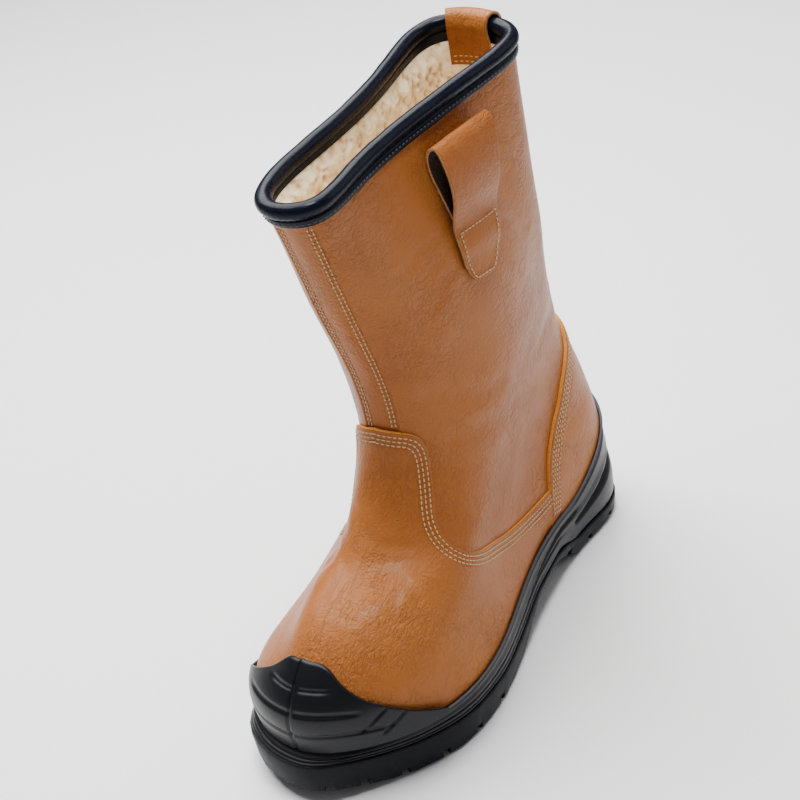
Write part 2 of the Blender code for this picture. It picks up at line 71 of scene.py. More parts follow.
# Columns: name, back y and z, front y and z, five outer and five inner half widths
LEVELS = (
    ("lasted edge", 143, 35, -140, 26, 33, 36, 43, 54, 34, 33, 32, 33, 43, 36),
    ("feather line", 146, 42, -143, 31, 35, 39, 46, 58, 38, 35, 34, 35, 46, 40),
    ("side wall", 146, 59, -146, 50, 36, 38, 42, 53, 36, 36, 34, 36, 43, 37),
    ("toe top", 144, 75, -134, 68, 34, 36, 38, 48, 33, 35, 33, 37, 36, 22),
    ("toe box back", 142, 86, -112, 83, 31, 35, 37, 43, 29, 34, 33, 36, 30, 17),
    ("vamp", 138, 100, -78, 95, 28, 34, 36, 40, 25, 33, 33, 36, 29, 15),
    ("instep", 131, 119, -52, 122, 25, 34, 37, 38, 23, 32, 34, 37, 32, 17),
    ("throat", 121, 145, -43, 149, 25, 36, 40, 38, 22, 33, 38, 39, 34, 18),
    ("ankle", 113, 178, -46, 182, 27, 38, 42, 37, 20, 34, 40, 41, 37, 20),
    ("shaft", 104, 222, -61, 228, 32, 40, 41, 34, 18, 30, 37, 38, 32, 20),
    ("collar", 95, 316, -85, 293, 34, 30, 22, 17, 17, 20, 18, 16, 19, 18),
)
LAST_LEVEL = len(LEVELS) - 1
SHAFT_LEVEL = 9.0
SHAFT_LEVEL_Z = 226.0
LEVEL_RISE = 86.0

# Columns: name, fraction of the sole's length from the heel, outer and inner half width
SOLE_PLAN = (
    ("heel back", 0.08, 41, 40),
    ("heel", 0.22, 42.5, 41),
    ("waist back", 0.40, 46, 37),
    ("waist", 0.54, 53, 39),
    ("ball", 0.68, 60, 49),
    ("joint", 0.80, 56, 54),
    ("toe", 0.93, 31, 43),
)

# Columns: name, y, height of the tread, height of the line between outsole and midsole
SOLE_SIDE = (
    ("toe", -154, 6.5, 24),
    ("forefoot front", -112, 0, 19),
    ("forefoot back", -22, 0, 15),
    ("arch front", 22, 12, 20),
    ("arch back", 52, 14, 20),
    ("heel front", 77, 0, 12),
    ("heel back", 148, 0, 11),
    ("heel end", 154, 1.5, 11),
)

# Columns: name, turn away from the middle of the toe, level of the toe cap's upper edge
CAP_EDGE = (
    ("seam", 0.0, 3.25),
    ("shoulder", 0.038, 3.06),
    ("hollow", 0.057, 2.65),
    ("hollow", 0.075, 2.28),
    ("wing", 0.092, 1.97),
    ("wing", 0.112, 1.55),
    ("tip", 0.131, 1.16),
)

# Columns: name, turn away from the toe's middle, level of the vamp's upper edge
VAMP_EDGE = (
    ("tab middle", 0.0, 7.13),
    ("tab", 0.055, 7.02),
    ("tab corner", 0.078, 6.90),
    ("tab side", 0.090, 6.62),
    ("tab side", 0.097, 6.05),
    ("throat", 0.107, 5.48),
    ("throat", 0.122, 5.08),
    ("flare", 0.148, 4.58),
    ("flare", 0.172, 4.15),
    ("wing", 0.215, 3.33),
    ("wing", 0.260, 2.46),
    ("quarter", 0.295, 2.12),
    ("rear", 0.316, 2.07),
)

# Columns: name, turn away from the heel's middle, level of the counter's edge
COUNTER_EDGE = (
    ("crown", 0.0, 6.56),
    ("crown", 0.050, 6.52),
    ("crown side", 0.085, 6.36),
    ("shoulder", 0.112, 6.05),
    ("shoulder", 0.143, 5.66),
    ("side", 0.166, 5.00),
    ("side", 0.178, 4.10),
    ("side", 0.183, 2.95),
    ("foot", 0.187, 2.10),
    ("foot", 0.194, 1.00),
)

# Columns: name, turn and level at both ends, depth and half width of each crease in the leather
CREASES = (
    ("vamp fold", 0.565, 5.25, 0.440, 4.35, 0.26, 3.0),
    ("vamp fold", 0.548, 5.65, 0.425, 5.10, 0.24, 2.6),
    ("vamp fold", 0.530, 4.70, 0.452, 3.95, 0.18, 2.4),
    ("vamp side fold", 0.425, 4.55, 0.372, 3.10, 0.22, 3.0),
    ("vamp side fold", 0.405, 4.35, 0.350, 2.60, 0.20, 2.8),
    ("vamp side fold", 0.580, 4.90, 0.625, 3.20, 0.26, 3.2),
    ("instep dent", 0.470, 6.30, 0.520, 5.70, 0.24, 4.5),
    ("ankle fold", 0.395, 7.55, 0.300, 7.10, 0.55, 5.0),
    ("ankle fold", 0.360, 6.60, 0.270, 6.30, 0.50, 5.0),
    ("ankle fold", 0.610, 7.50, 0.700, 7.05, 0.60, 5.0),
    ("ankle fold", 0.640, 6.60, 0.730, 6.20, 0.50, 5.0),
    ("heel fold", 0.120, 7.20, 0.220, 6.90, 0.40, 5.0),
    ("heel fold", 0.880, 7.25, 0.780, 6.85, 0.45, 5.0),
    ("shaft dent", 0.430, 9.60, 0.405, 8.30, 0.80, 9.0),
    ("shaft wave", 0.330, 9.75, 0.350, 8.60, 0.50, 8.0),
    ("shaft wave", 0.640, 9.60, 0.610, 8.40, 0.80, 9.0),
    ("shaft wave", 0.180, 9.30, 0.150, 8.00, 0.50, 9.0),
    ("loop pull", 0.285, 9.10, 0.350, 8.75, 0.30, 2.8),
    ("loop pull", 0.290, 9.32, 0.372, 9.18, 0.28, 2.6),
    ("loop pull", 0.213, 9.15, 0.160, 8.90, 0.28, 2.8),
    ("loop pull", 0.715, 9.10, 0.650, 8.75, 0.30, 2.8),
)

# Columns: name, side of the toe, turn of the shaft's front seam at the collar and at the vamp
SHAFT_SEAMS = (
    ("outer seam", 1.0, 0.450, 0.449),
    ("inner seam", -1.0, 0.537, 0.523),
)
SEAM_FOOT = 7.04
SEAM_STEP = 0.9
EDGE_ROUNDING = 5.0

# Columns: name, distance out from the upper, height along it from the binding's top
BINDING_SECTION = (
    ("flange foot", 0.3, -10.4),
    ("flange edge", 1.5, -10.1),
    ("flange", 1.8, -8.2),
    ("flange top", 1.6, -6.3),
    ("groove", 0.9, -5.5),
    ("roll root", 1.9, -4.8),
    ("roll side", 2.9, -3.2),
    ("roll side", 2.9, -1.2),
    ("roll shoulder", 1.9, 0.7),
    ("roll top", 0.5, 1.6),
    ("roll top", -1.0, 1.9),
    ("roll top", -2.5, 1.6),
    ("roll shoulder", -4.0, 0.7),
    ("roll side", -5.0, -1.2),
    ("roll side", -5.0, -3.2),
    ("roll root", -4.3, -4.7),
    ("inner groove", -3.4, -5.4),
    ("facing top", -4.0, -6.2),
    ("facing", -4.1, -9.0),
    ("facing foot", -4.0, -12.2),
    ("channel foot", -2.6, -12.2),
    ("channel top", -2.6, -0.6),
    ("channel top", 0.3, -0.6),
)

PUCKERS = 95.0

# Columns: name, distance out from the upper, height along it above the loop's foot, half width
LOOP_PATH = (
    ("hidden end", 0.4, 27, 12.5),
    ("inner leg", 0.4, 43, 14.0),
    ("inner leg", 0.4, 57, 16.6),
    ("inner leg", 0.5, 68, 18.8),
    ("fold", 1.8, 77, 20.0),
    ("fold", 5.0, 82.5, 20.2),
    ("fold", 9.2, 83.5, 20.2),
    ("fold", 12.2, 79, 20.0),
    ("outer leg", 12.8, 71, 19.4),
    ("outer leg", 11.8, 61, 18.4),
    ("outer leg", 9.2, 52, 17.8),
    ("outer leg", 6.0, 45, 17.4),
    ("patch top", 4.1, 38, 17.2),
    ("patch", 3.9, 26, 16.0),
    ("patch", 2.3, 16, 14.0),
    ("patch", 1.9, 7, 10.8),
    ("patch foot", 1.9, 0, 6.6),
)
LOOP_TURN = 0.252
LOOP_TILT = -0.019
LOOP_PIVOT = 40.0
LOOP_FOOT_Z = 212.0
LOOPS = (("lateral", LOOP_TURN, 1.0), ("medial", 1.0 - LOOP_TURN, -1.0))
STRAP = 1.5

# Columns: name, distance out from the upper, height along it from the binding's top
TAB_PATH = (
    ("outer foot", 2.1, -30),
    ("outer leg", 2.4, -20),
    ("outer leg", 3.9, -11),
    ("roll side", 5.0, -5),
    ("roll side", 5.0, -1),
    ("roll top", 3.0, 3.3),
    ("roll top", -1.0, 4.7),
    ("roll top", -5.0, 3.3),
    ("roll side", -7.2, -1),
    ("inner leg", -7.2, -5),
    ("inner leg", -6.0, -11),
    ("inner foot", -6.0, -24),
)
TAB_HALF_TURN = 0.036

# Columns: name, level at the toe, slope with the turn, turns to its start and end, depth
CAP_GROOVES = (
    ("upper groove", 2.62, 0.5, 0.004, 0.052, 0.8),
    ("middle groove", 2.12, 0.4, 0.004, 0.075, 0.9),
    ("lower groove", 1.62, 1.0, 0.0, 0.100, 0.8),
)

# Columns: name, turn from the middle, level and lean of each slanted slot
CAP_SLOTS = (
    ("front slot", 0.078, 1.72, 0.055),
    ("back slot", 0.092, 1.50, 0.055),
)

# Columns: name, place along a stitch from -1 to 1, share of the thread's width, height
STITCH = (
    ("hole", -1.0, 0.35, -0.25),
    ("shoulder", -0.7, 0.85, 0.20),
    ("middle", 0.0, 1.0, 0.42),
    ("shoulder", 0.7, 0.85, 0.20),
    ("hole", 1.0, 0.35, -0.25),
)
THREAD_SIDES = 6
THREAD_FLATNESS = 0.75

# Each overlay: turn of its middle, level of its foot, rows and half the columns of its grid, distance
# out from the upper, distances of its stitch rows from the edge, and how far along it they are sewn
VAMP = {"name": "vamp", "edge": VAMP_EDGE, "middle": 0.5, "foot": 0.62, "rows": 120, "columns": 190,
        "out": 1.9, "sewn": (2.2, 4.6, 7.0), "sewn_to": 1.0}
COUNTER = {"name": "counter", "edge": COUNTER_EDGE, "middle": 0.0, "foot": 0.70, "rows": 80,
           "columns": 110, "out": 2.4, "sewn": (2.2, 4.4, 6.6, 8.8), "sewn_to": 0.99}
SEWN_POINTS = 260
SEAM_ROWS = (1.6, 3.7)
TAB_ROWS = (-19.0, -22.0)

# Columns of the closed grids, and closer ones for the strip between the shaft's front seams
UPPER_COLUMNS = 260
STRIP_COLUMNS = (0.432, 0.552, 84)
SOLE_COLUMNS = 540
COLLAR_COLUMNS = 420
FLEECE_COLUMNS = 330

# Stretches of rows: first level, last level and number of rows
UPPER_ROWS = ((0.0, 2.0, 12), (2.05, 7.0, 76), (7.05, 9.99, 118))
FLEECE_ROWS = ((1.3, 7.4, 50), (7.5, 9.1, 40), (9.12, 9.885, 64))

# Rows and columns of a loop's own grid and of the finer one that its stitches follow, the rows of
# that one from the outer leg on, and the heights and columns that the patch is sewn between
LOOP_GRID = (150, 44)
LOOP_SEWING_GRID = (300, 41)
OUTER_LEG_FROM = 200
PATCH_HEIGHTS = (2.5, 37.0)
PATCH_COLUMNS = (3, 37)

# Fibrous finishes: roughness, the fibres' noise, where it darkens, depth and strength of its relief
CUT_EDGE = (0.75, (1400.0, 2.0), (0.35, 0.7, 1.0), (0.0003, 0.7))
WAXED = (0.6, (2600.0, 1.0), (0.4, 0.7, 0.5), (0.0002, 0.6))
FELT = (0.95, (700.0, 4.0), (0.0, 1.0, 1.0), (0.0006, 0.8))

# Colour of the painted highlight along the sole's lip
LIP_PAINTED_HIGHLIGHT = (0.085, 0.087, 0.098)

# The photograph's view: turn from the front to the outer side, height and roll in degrees,
# distance and shifts in millimetres, focal length in pixels of an 800 pixel frame
VIEW_TURN = 35.34
VIEW_HEIGHT = 30.84
VIEW_ROLL = -9.4
VIEW_DISTANCE = 900.0
VIEW_SHIFT = (-11.5, 11.56)
VIEW_TARGET = (CENTRE_X, 0.0, 130.0)
FOCAL_PIXELS = 1723.36
FRAME_PIXELS = 800.0
SENSOR = 36.0

# Columns: name, metres to the view's right, up and towards the camera, size in metres, watts
LIGHTS = (
    ("top", -0.25, 1.40, 0.15, 1.5, 72.0),
    ("side", 1.30, 0.75, 0.20, 0.9, 3.0),
    ("key", 0.10, 1.15, 0.95, 0.35, 15.0),
)
LIGHTS_AIM = (0.0, 0.0, 0.15)
SKY_STRENGTH = 0.20
FLOOR_SIZE = 30.0
FLOOR_DROP = 0.0004


def smooth(x, xs, ys, flat=False):
    """A Hermite curve through the values ys at xs, with no slope at them when flat."""
    xs = np.asarray(xs, float)
    ys = np.asarray(ys, float)
    slopes = np.gradient(ys, xs, axis=0) * (0.0 if flat else 1.0)
    cell = np.clip(np.searchsorted(xs, x, side="right") - 1, 0, len(xs) - 2)
    width = xs[cell + 1] - xs[cell]
    t = (x - xs[cell]) / width
    if flat:
        t = np.clip(t, 0.0, 1.0)
    if ys.ndim > 1:
        t = t[..., None]
        width = width[..., None]
    rise = t * t * (3.0 - 2.0 * t)
    start = t * (1.0 - t) ** 2
    end = t * t * (t - 1.0)
    return (ys[cell] * (1.0 - rise) + ys[cell + 1] * rise
            + width * (slopes[cell] * start + slopes[cell + 1] * end))


def columns(rows, first, last):
    """The named rows' columns from first up to last, as an array."""
    return np.array([row[first:last] for row in rows], float)


def smooth_path(rows, last, count):
    """A smooth curve of count points through a table's columns from 1 up to last."""
    table = columns(rows, 1, last)
    return smooth(np.linspace(0.0, len(table) - 1.0, count), np.arange(len(table)), table)


def unit(vectors):
    """Vectors made one long."""
    return vectors / np.linalg.norm(vectors, axis=-1, keepdims=True)


def travel_along(line):
    """The distance along a line of points to each of them."""
    return np.append(0.0, np.cumsum(np.linalg.norm(np.diff(line, axis=0), axis=-1)))


def ring(count):
    """Turns of a closed grid's columns, evenly around the boot."""
    return np.arange(count) / count


def stretches(rows):
    """Levels of a grid's rows, evenly spaced within each stretch."""
    return np.concatenate([np.linspace(*stretch) for stretch in rows])


def through_stations(fraction):
    """How much each station's half width counts at a fraction of the ring's length."""
    weights = []
    for here, station in enumerate(STATIONS):
        others = np.delete(STATIONS, here)
        weights.append(np.prod([(fraction - o) / (station - o) for o in others], axis=0))
    return np.stack(weights, axis=-1)


def upper_surface(turn, level):
    """Points on the upper's outer face: half width times the sine of the turn, at a slanted ring."""
    turn, level = np.broadcast_arrays(np.asarray(turn, float), np.asarray(level, float))
    row = smooth(level, np.arange(len(LEVELS)), columns(LEVELS, 1, 15))
    fraction = 0.5 - 0.5 * np.cos(2.0 * np.pi * turn)
    swing = np.sin(2.0 * np.pi * turn)
    fullness = 2.0 * np.sqrt(STATIONS * (1.0 - STATIONS))
    weights = through_stations(fraction) / fullness
    outer = (row[..., 4:9] * weights).sum(axis=-1)
    inner = (row[..., 9:14] * weights).sum(axis=-1)
    x = np.where(swing >= 0.0, outer, inner) * swing + CENTRE_X
    y = row[..., 0] + (row[..., 2] - row[..., 0]) * fraction
    z = row[..., 1] + (row[..., 3] - row[..., 1]) * fraction
    return np.stack([x, y, z], axis=-1)


def upper_slopes(turn, level):
    """How the upper's points move per turn and per level."""
    step = 0.002
    along = (upper_surface(turn + step, level) - upper_surface(turn - step, level)) / (2 * step)
    rise = step * 10
    up = (upper_surface(turn, level + rise) - upper_surface(turn, level - rise)) / (2 * rise)
    return along, up


def upper_normal(turn, level):
    """Unit vectors that point out of the upper."""
    along, up = upper_slopes(turn, level)
    return unit(np.cross(up, along))


def on_upper(turn, level, out=0.0):
    """Points at a distance out from the upper's outer face."""
    turn, level = np.broadcast_arrays(np.asarray(turn, float), np.asarray(level, float))
    out = np.broadcast_to(np.asarray(out, float), turn.shape)
    return upper_surface(turn, level) + upper_normal(turn, level) * out[..., None]


def along_collar(turn, out, height):
    """Points by distance out from the collar's rim and height along the shaft from it."""
    rim = upper_surface(turn, LAST_LEVEL)
    up = unit(rim - upper_surface(turn, LAST_LEVEL - 0.15))
    outward = upper_normal(turn, LAST_LEVEL)
    return rim + outward * np.asarray(out)[..., None] + up * np.asarray(height)[..., None]


def along_sole(turn):
    """How far towards the heel each turn of the sole's outline lies."""
    return SOLE_LENGTH / 2 * np.cos(2.0 * np.pi * turn)


def sole_plan(turn, out=0.0):
    """The sole's outline seen from below, moved out by a distance."""
    plan = columns(SOLE_PLAN, 1, 4)
    fullness = 2.0 * np.sqrt(plan[:, 0] * (1.0 - plan[:, 0]))

    def outline(at):
        fraction = 0.5 - 0.5 * np.cos(2.0 * np.pi * at)
        swing = np.sin(2.0 * np.pi * at)
        widths = smooth(fraction, plan[:, 0], plan[:, 1:] / fullness[:, None])
        x = np.where(swing >= 0.0, widths[..., 0], widths[..., 1]) * swing + CENTRE_X
        return np.stack([x, along_sole(at)], axis=-1)

    along = outline(turn + 0.002) - outline(turn - 0.002)
    sideways = unit(np.stack([-along[..., 1], along[..., 0]], axis=-1))
    return outline(turn) + sideways * np.asarray(out, float)[..., None]


def sole_height(y, column):
    """The height in a column of SOLE_SIDE at each y."""
    table = columns(SOLE_SIDE, 1, 4)
    return smooth(y, table[:, 0], table[:, column], flat=True)


def lip_level(turn):
    """Level of the top of the sole's cup, which climbs the back of the heel."""
    start, reach, climb, rise_per_level = 78.0, 72.0, 29.0, 17.0
    return 1.0 + climb / rise_per_level * np.clip((along_sole(turn) - start) / reach, 0.0, 1.0) ** 1.25


def dip(value, middle, half):
    """A soft dip: 1 in the middle and 0 beyond half on either side."""
    t = np.clip(np.abs(value - middle) / half, 0.0, 1.0)
    return (1.0 - t * t) ** 2


def ramp(value, start, end):
    """0 at start, 1 at end, and an S-curve between them."""
    t = np.clip((value - start) / (end - start), 0.0, 1.0)
    return t * t * (3.0 - 2.0 * t)


def ripple(points, wavelength, seed, waves=9):
    """Soft noise from -1 to 1: a mean of cosines along random directions."""
    draw = np.random.default_rng(seed)
    directions = unit(draw.normal(size=(waves, 3)))
    phases = draw.uniform(0.0, 2.0 * np.pi, waves)
    stretch = draw.uniform(0.7, 1.5, waves) * 2.0 * np.pi / wavelength
    return np.cos((points @ directions.T) * stretch + phases).mean(axis=-1) * 1.8


def distance_to(points, line):
    """The distance from each point to a polyline, as the least over its segments."""
    nearest = np.full(points.shape[:-1], 1e9)
    for start, end in zip(line[:-1], line[1:]):
        run = end - start
        share = np.clip(((points - start) @ run) / (run @ run), 0.0, 1.0)
        gap = np.linalg.norm(points - start - share[..., None] * run, axis=-1)
        nearest = np.minimum(nearest, gap)
    return nearest


def crease_relief(points):
    """Soft troughs with a low ridge beside them, and a slow wave over the whole skin."""
    relief = 0.30 * ripple(points, 52.0, 3) + 0.05 * ripple(points, 15.0, 5)
    scale = bpy.context.scene.rigger_boot_sizes.crease_depth
    share = np.linspace(0.0, 1.0, 9)
    for name, turn_a, level_a, turn_b, level_b, depth, half in CREASES:
        bend = 0.010 * np.sin(share * 7.0 + turn_a * 40.0)
        turn = turn_a + (turn_b - turn_a) * share + bend
        away = distance_to(points, upper_surface(turn, level_a + (level_b - level_a) * share))
        relief += scale * depth * (0.55 * dip(away, 1.9 * half, 1.4 * half) - dip(away, 0.0, 1.3 * half))
    return relief


def seam_turn(level, at_collar, at_vamp):
    """The turn of a shaft seam at a level."""
    share = (level - SEAM_FOOT) / (LAST_LEVEL - SEAM_FOOT)
    return at_vamp + (at_collar - at_vamp) * share


def skin_relief(turn, level, points):
    """The upper's relief: its creases, and the front strip that lies under the side panels."""
    outer, inner = (seam_turn(level, *row[2:]) for row in SHAFT_SEAMS)
    strip = ramp(turn, outer - 0.001, outer + 0.0025) * ramp(turn, inner + 0.001, inner - 0.0025)
    return crease_relief(points) * 0.9 - SEAM_STEP * strip * ramp(level, 6.6, 6.9)


class Quantity:
    """A number socket of a material, with Python's operators for its Math nodes."""

    def __init__(self, finish, socket):
        self.finish = finish
        self.socket = socket

    def math(self, operation, *others):
        node = self.finish.node("ShaderNodeMath", {"operation": operation})
        for slot, value in enumerate((self, *others)):
            self.finish.feed(node.inputs[slot], value)
        return Quantity(self.finish, node.outputs[0])

    def __add__(self, other):
        return self.math("ADD", other)

    def __mul__(self, other):
        return self.math("MULTIPLY", other)

    def __sub__(self, other):
        return self.math("SUBTRACT", other)

    def __rsub__(self, other):
        return (self * -1.0) + other

    def __abs__(self):
        return self.math("ABSOLUTE")

    __radd__ = __add__
    __rmul__ = __mul__


class Finish:
    """A material's board: its nodes are added with node, and its shader's sockets are set with set."""

    def __init__(self, name, base, roughness, **sockets):
        self.material = bpy.data.materials.new(name)
        self.material.use_nodes = True
        self.tree = self.material.node_tree
        self.shader = self.tree.nodes["Principled BSDF"]
        self.set("Base Color", (*base, 1.0))
        self.set("Roughness", roughness)
        for socket, value in sockets.items():
            self.set(socket.replace("_", " "), value)
        self.place = self.node("ShaderNodeTexCoord").outputs["Object"]

    def node(self, kind, settings=None, inputs=None):
        made = self.tree.nodes.new(kind)
        for key, value in (settings or {}).items():
            setattr(made, key, value)
        for key, value in (inputs or {}).items():
            self.feed(made.inputs[key], value)
        return made

    def feed(self, socket, value):
        if isinstance(value, Quantity):
            self.tree.links.new(value.socket, socket)
        elif isinstance(value, bpy.types.NodeSocket):
            self.tree.links.new(value, socket)
        else:
            socket.default_value = value

    def set(self, socket, value):
        self.feed(self.shader.inputs[socket], value)

    def noise(self, scale, detail=2.0, stretch=None, turn=0.0, roughness=0.5):
        """Noise from 0 to 1 over the object, with its cells' number in a metre."""
        place = self.place
        if stretch:
            turned = {"Vector": place, "Rotation": (0.0, 0.0, turn), "Scale": stretch}
            place = self.node("ShaderNodeMapping", inputs=turned).outputs[0]
        values = {"Vector": place, "Scale": scale, "Detail": detail, "Roughness": roughness}
        return Quantity(self, self.node("ShaderNodeTexNoise", inputs=values).outputs["Fac"])

    def cells(self, scale):
        """Distance from the middle of the nearest cell."""
        made = self.node("ShaderNodeTexVoronoi", inputs={"Vector": self.place, "Scale": scale})
        return Quantity(self, made.outputs["Distance"])

    def attribute(self, name):
        return Quantity(self, self.node("ShaderNodeAttribute", {"attribute_name": name}).outputs["Fac"])

    def mix(self, factor, first, second):
        """A colour between two, each a colour or another mix."""
        made = self.node("ShaderNodeMix", {"data_type": "RGBA"})
        self.feed(made.inputs["Factor"], factor)
        for socket, colour in ((made.inputs[6], first), (made.inputs[7], second)):
            self.feed(socket, colour if isinstance(colour, bpy.types.NodeSocket) else (*colour, 1.0))
        return made.outputs[2]

    def bump(self, height, depth, strength=1.0):
        """Relief from a height, with its depth in metres."""
        values = {"Height": height, "Distance": depth, "Strength": strength}
        self.set("Normal", self.node("ShaderNodeBump", inputs=values).outputs["Normal"])


def spread(value, low, high):
    """0 at low and below, 1 at high and above."""
    return ((value - low) * (1.0 / (high - low))).math("MAXIMUM", 0.0).math("MINIMUM", 1.0)


def thin_lines(noise, width):
    """1 along the lines where a noise crosses its middle, and 0 beside them."""
    return 1.0 - spread(abs(noise - 0.5), 0.0, width)


def leather_finish(name, base, shade, light, roughness, coat):
    """Grained leather: pebbles and pores, short wrinkles in two directions and long soft creases."""
    finish = Finish(name, base, roughness, Coat_Weight=coat, Coat_Roughness=0.26, Specular_IOR_Level=0.10)
    pebble = spread(finish.cells(760.0), 0.10, 0.75)
    pores = finish.noise(2100.0, 1.0)
    slanted = thin_lines(finish.noise(520.0, 2.5, (1.0, 0.30, 0.55), 0.62), 0.10)
    crossing = thin_lines(finish.noise(430.0, 2.5, (0.42, 1.0, 0.75), -0.50), 0.08)
    bent = thin_lines(finish.noise(170.0, 4.0, (1.0, 0.28, 0.5), 0.62), 0.045)
    wrinkles = slanted * spread(finish.noise(26.0), 0.38, 0.62)
    wrinkles = wrinkles + crossing * spread(finish.noise(31.0), 0.46, 0.66) * 0.7
    creased = bent * spread(finish.noise(17.0), 0.44, 0.64)
    height = pebble * -0.18 + pores * 0.10 - wrinkles * 0.50 - creased * 0.40 + finish.noise(70.0) * 0.30
    finish.bump(height, 0.00070)
    cloud = spread(finish.noise(15.0, 3.0), 0.32, 0.70)
    tone = finish.mix(cloud, base, light)
    # Painted shade: darker in the wrinkles and creases, where the relief sinks; the pores' darkening is the
    # leather's own tone
    tone = finish.mix(wrinkles * 0.16 + creased * 0.12, tone, shade)
    tone = finish.mix(spread(pores, 0.55, 0.8) * 0.12, tone, shade)
    finish.set("Base Color", tone)
    finish.set("Roughness", finish.noise(90.0) * 0.14 + (roughness - 0.07) + creased * 0.08)


def fibre_finish(name, base, shade, roughness, fibres, darkening, relief):
    """Fine fibres, as in a cut edge of leather, waxed thread or felt: noise in colour and relief.

    The darkening is the noise's value where the shade starts, where it is full, and its share there.
    """
    finish = Finish(name, base, roughness)
    fibre = finish.noise(*fibres)
    start, full, share = darkening
    finish.set("Base Color", finish.mix(spread(fibre, start, full) * share, base, shade))
    finish.bump(fibre, *relief)


def suede_finish(name, base, light):
    """The flesh side: short nap with lighter clumps."""
    finish = Finish(name, base, 0.95, Specular_IOR_Level=0.2)
    nap = finish.noise(900.0, 3.0)
    clumps = finish.noise(160.0)
    finish.set("Base Color", finish.mix(spread(nap + clumps * 0.6, 0.55, 1.15), base, light))
    finish.bump(nap, 0.0005, 0.8)


def rubber_finish(name, base, light, roughness, coat):
    """Moulded rubber: faint orange peel, dust in patches, a satin sheen and a painted highlight along the
    lip.
    """
    finish = Finish(name, base, roughness, Coat_Weight=coat, Coat_Roughness=0.35, Specular_IOR_Level=0.08)
    peel = finish.noise(1100.0)
    dust = spread(finish.noise(34.0, 4.0, roughness=0.65), 0.50, 0.80)
    tone = finish.mix(dust * 0.12, base, light)
    # Painted highlight: a lighter grey mixed in where the lip attribute is set
    finish.set("Base Color", finish.mix(finish.attribute("lip"), tone, LIP_PAINTED_HIGHLIGHT))
    finish.set("Roughness", dust * 0.14 + roughness + finish.noise(240.0) * 0.08 - 0.04)
    finish.bump(peel + finish.noise(180.0) * 0.8, 0.00016, 0.8)


def binding_finish(name, base, light):
    """Soft glossy coated leather with fine wrinkles across the roll."""
    finish = Finish(name, base, 0.34, Coat_Weight=0.22, Coat_Roughness=0.20, Specular_IOR_Level=0.03)
    lines = thin_lines(finish.noise(210.0, 3.0), 0.05)
    fine = finish.noise(1500.0, 1.0)
    finish.set("Base Color", finish.mix(spread(finish.noise(50.0), 0.4, 0.7) * 0.5, base, light))
    finish.bump(fine * 0.25 - lines * 0.5 + finish.noise(120.0) * 0.7, 0.00030, 0.8)


def fleece_finish(name, base, shade, light):
    """Curly pile: tufts lighter at their tips, painted shade in brown between them, and a painted glow in
    the same tones.
    """
    # A faint emission in the fleece's own tones: a painted glow, as if light filled the pile
    finish = Finish(name, base, 0.95, Specular_IOR_Level=0.1, Emission_Strength=0.20)
    curl = finish.noise(210.0, 4.0, roughness=0.65)
    tuft = finish.attribute("tuft")
    # Painted shade: brown where the tufts lie low
    tone = finish.mix(spread(tuft + curl * 0.6, 0.42, 0.92), shade, base)
    tone = finish.mix(spread(tuft * 0.6 + curl, 0.65, 1.10), tone, light)
    finish.set("Base Color", tone)
    # The painted glow takes the same tones, painted shade and all
    finish.set("Emission Color", tone)
    finish.bump(curl + finish.noise(1300.0) * 0.4, 0.0012, 0.9)


def make_finishes(colours):
    """Every finish of the boot, in the user's colours and in shades worked out from them."""
    keys = ("leather", "leather_light", "leather_dark", "edge", "rubber", "binding", "fleece", "thread")
    chosen = (np.array(getattr(colours, key)) for key in keys)
    tan, light, dark, edge, rubber, binding, fleece, thread = chosen
    dusty = np.minimum(rubber * 2.3 + 0.004, 1.0)
    leather_finish("tan leather", tan, dark, light, 0.38, 0.10)
    leather_finish("strap leather", tan, dark, light, 0.34, 0.08)
    suede_finish("flesh side", (0.028, 0.014, 0.009), (0.075, 0.040, 0.024))
    rubber_finish("sole rubber", rubber, dusty, 0.50, 0.08)
    rubber_finish("side rubber", rubber, dusty, 0.38, 0.30)
    binding_finish("collar leather", binding, binding * 1.8)
    # The fleece colour darkened is its painted shade between the tufts; the tips are a lighter cream; the
    # finish also glows in these tones
    fleece_finish("fleece with painted glow and shade", fleece, fleece * (0.48, 0.40, 0.32), (1.00, 0.90, 0.66))
    fibre_finish("raw edge", edge, edge * 0.55, *CUT_EDGE)
    fibre_finish("strap edge", (0.50, 0.24, 0.09), (0.26, 0.10, 0.03), *CUT_EDGE)
    fibre_finish("waxed thread", thread, thread * 0.5, *WAXED)
    fibre_finish("grey thread", (0.050, 0.054, 0.066), (0.016, 0.017, 0.020), *WAXED)
    fibre_finish("felt sock", (0.36, 0.29, 0.20), (0.24, 0.19, 0.13), *FELT)


def palette():
    """The boot's finishes by name, made when they are first asked for."""
    if "tan leather" not in bpy.data.materials:
        make_finishes(bpy.context.scene.rigger_boot_colours)
    return bpy.data.materials


def colour(name, description, default):
    """A colour that a user may change."""
    return bpy.props.FloatVectorProperty(
        name=name, description=description, subtype="COLOR", size=3, min=0.0, max=1.0, default=default)


def size(name, description, default, least, most):
    """A size that a user may change."""
    return bpy.props.FloatProperty(name=name, description=description, default=default, min=least, max=most)


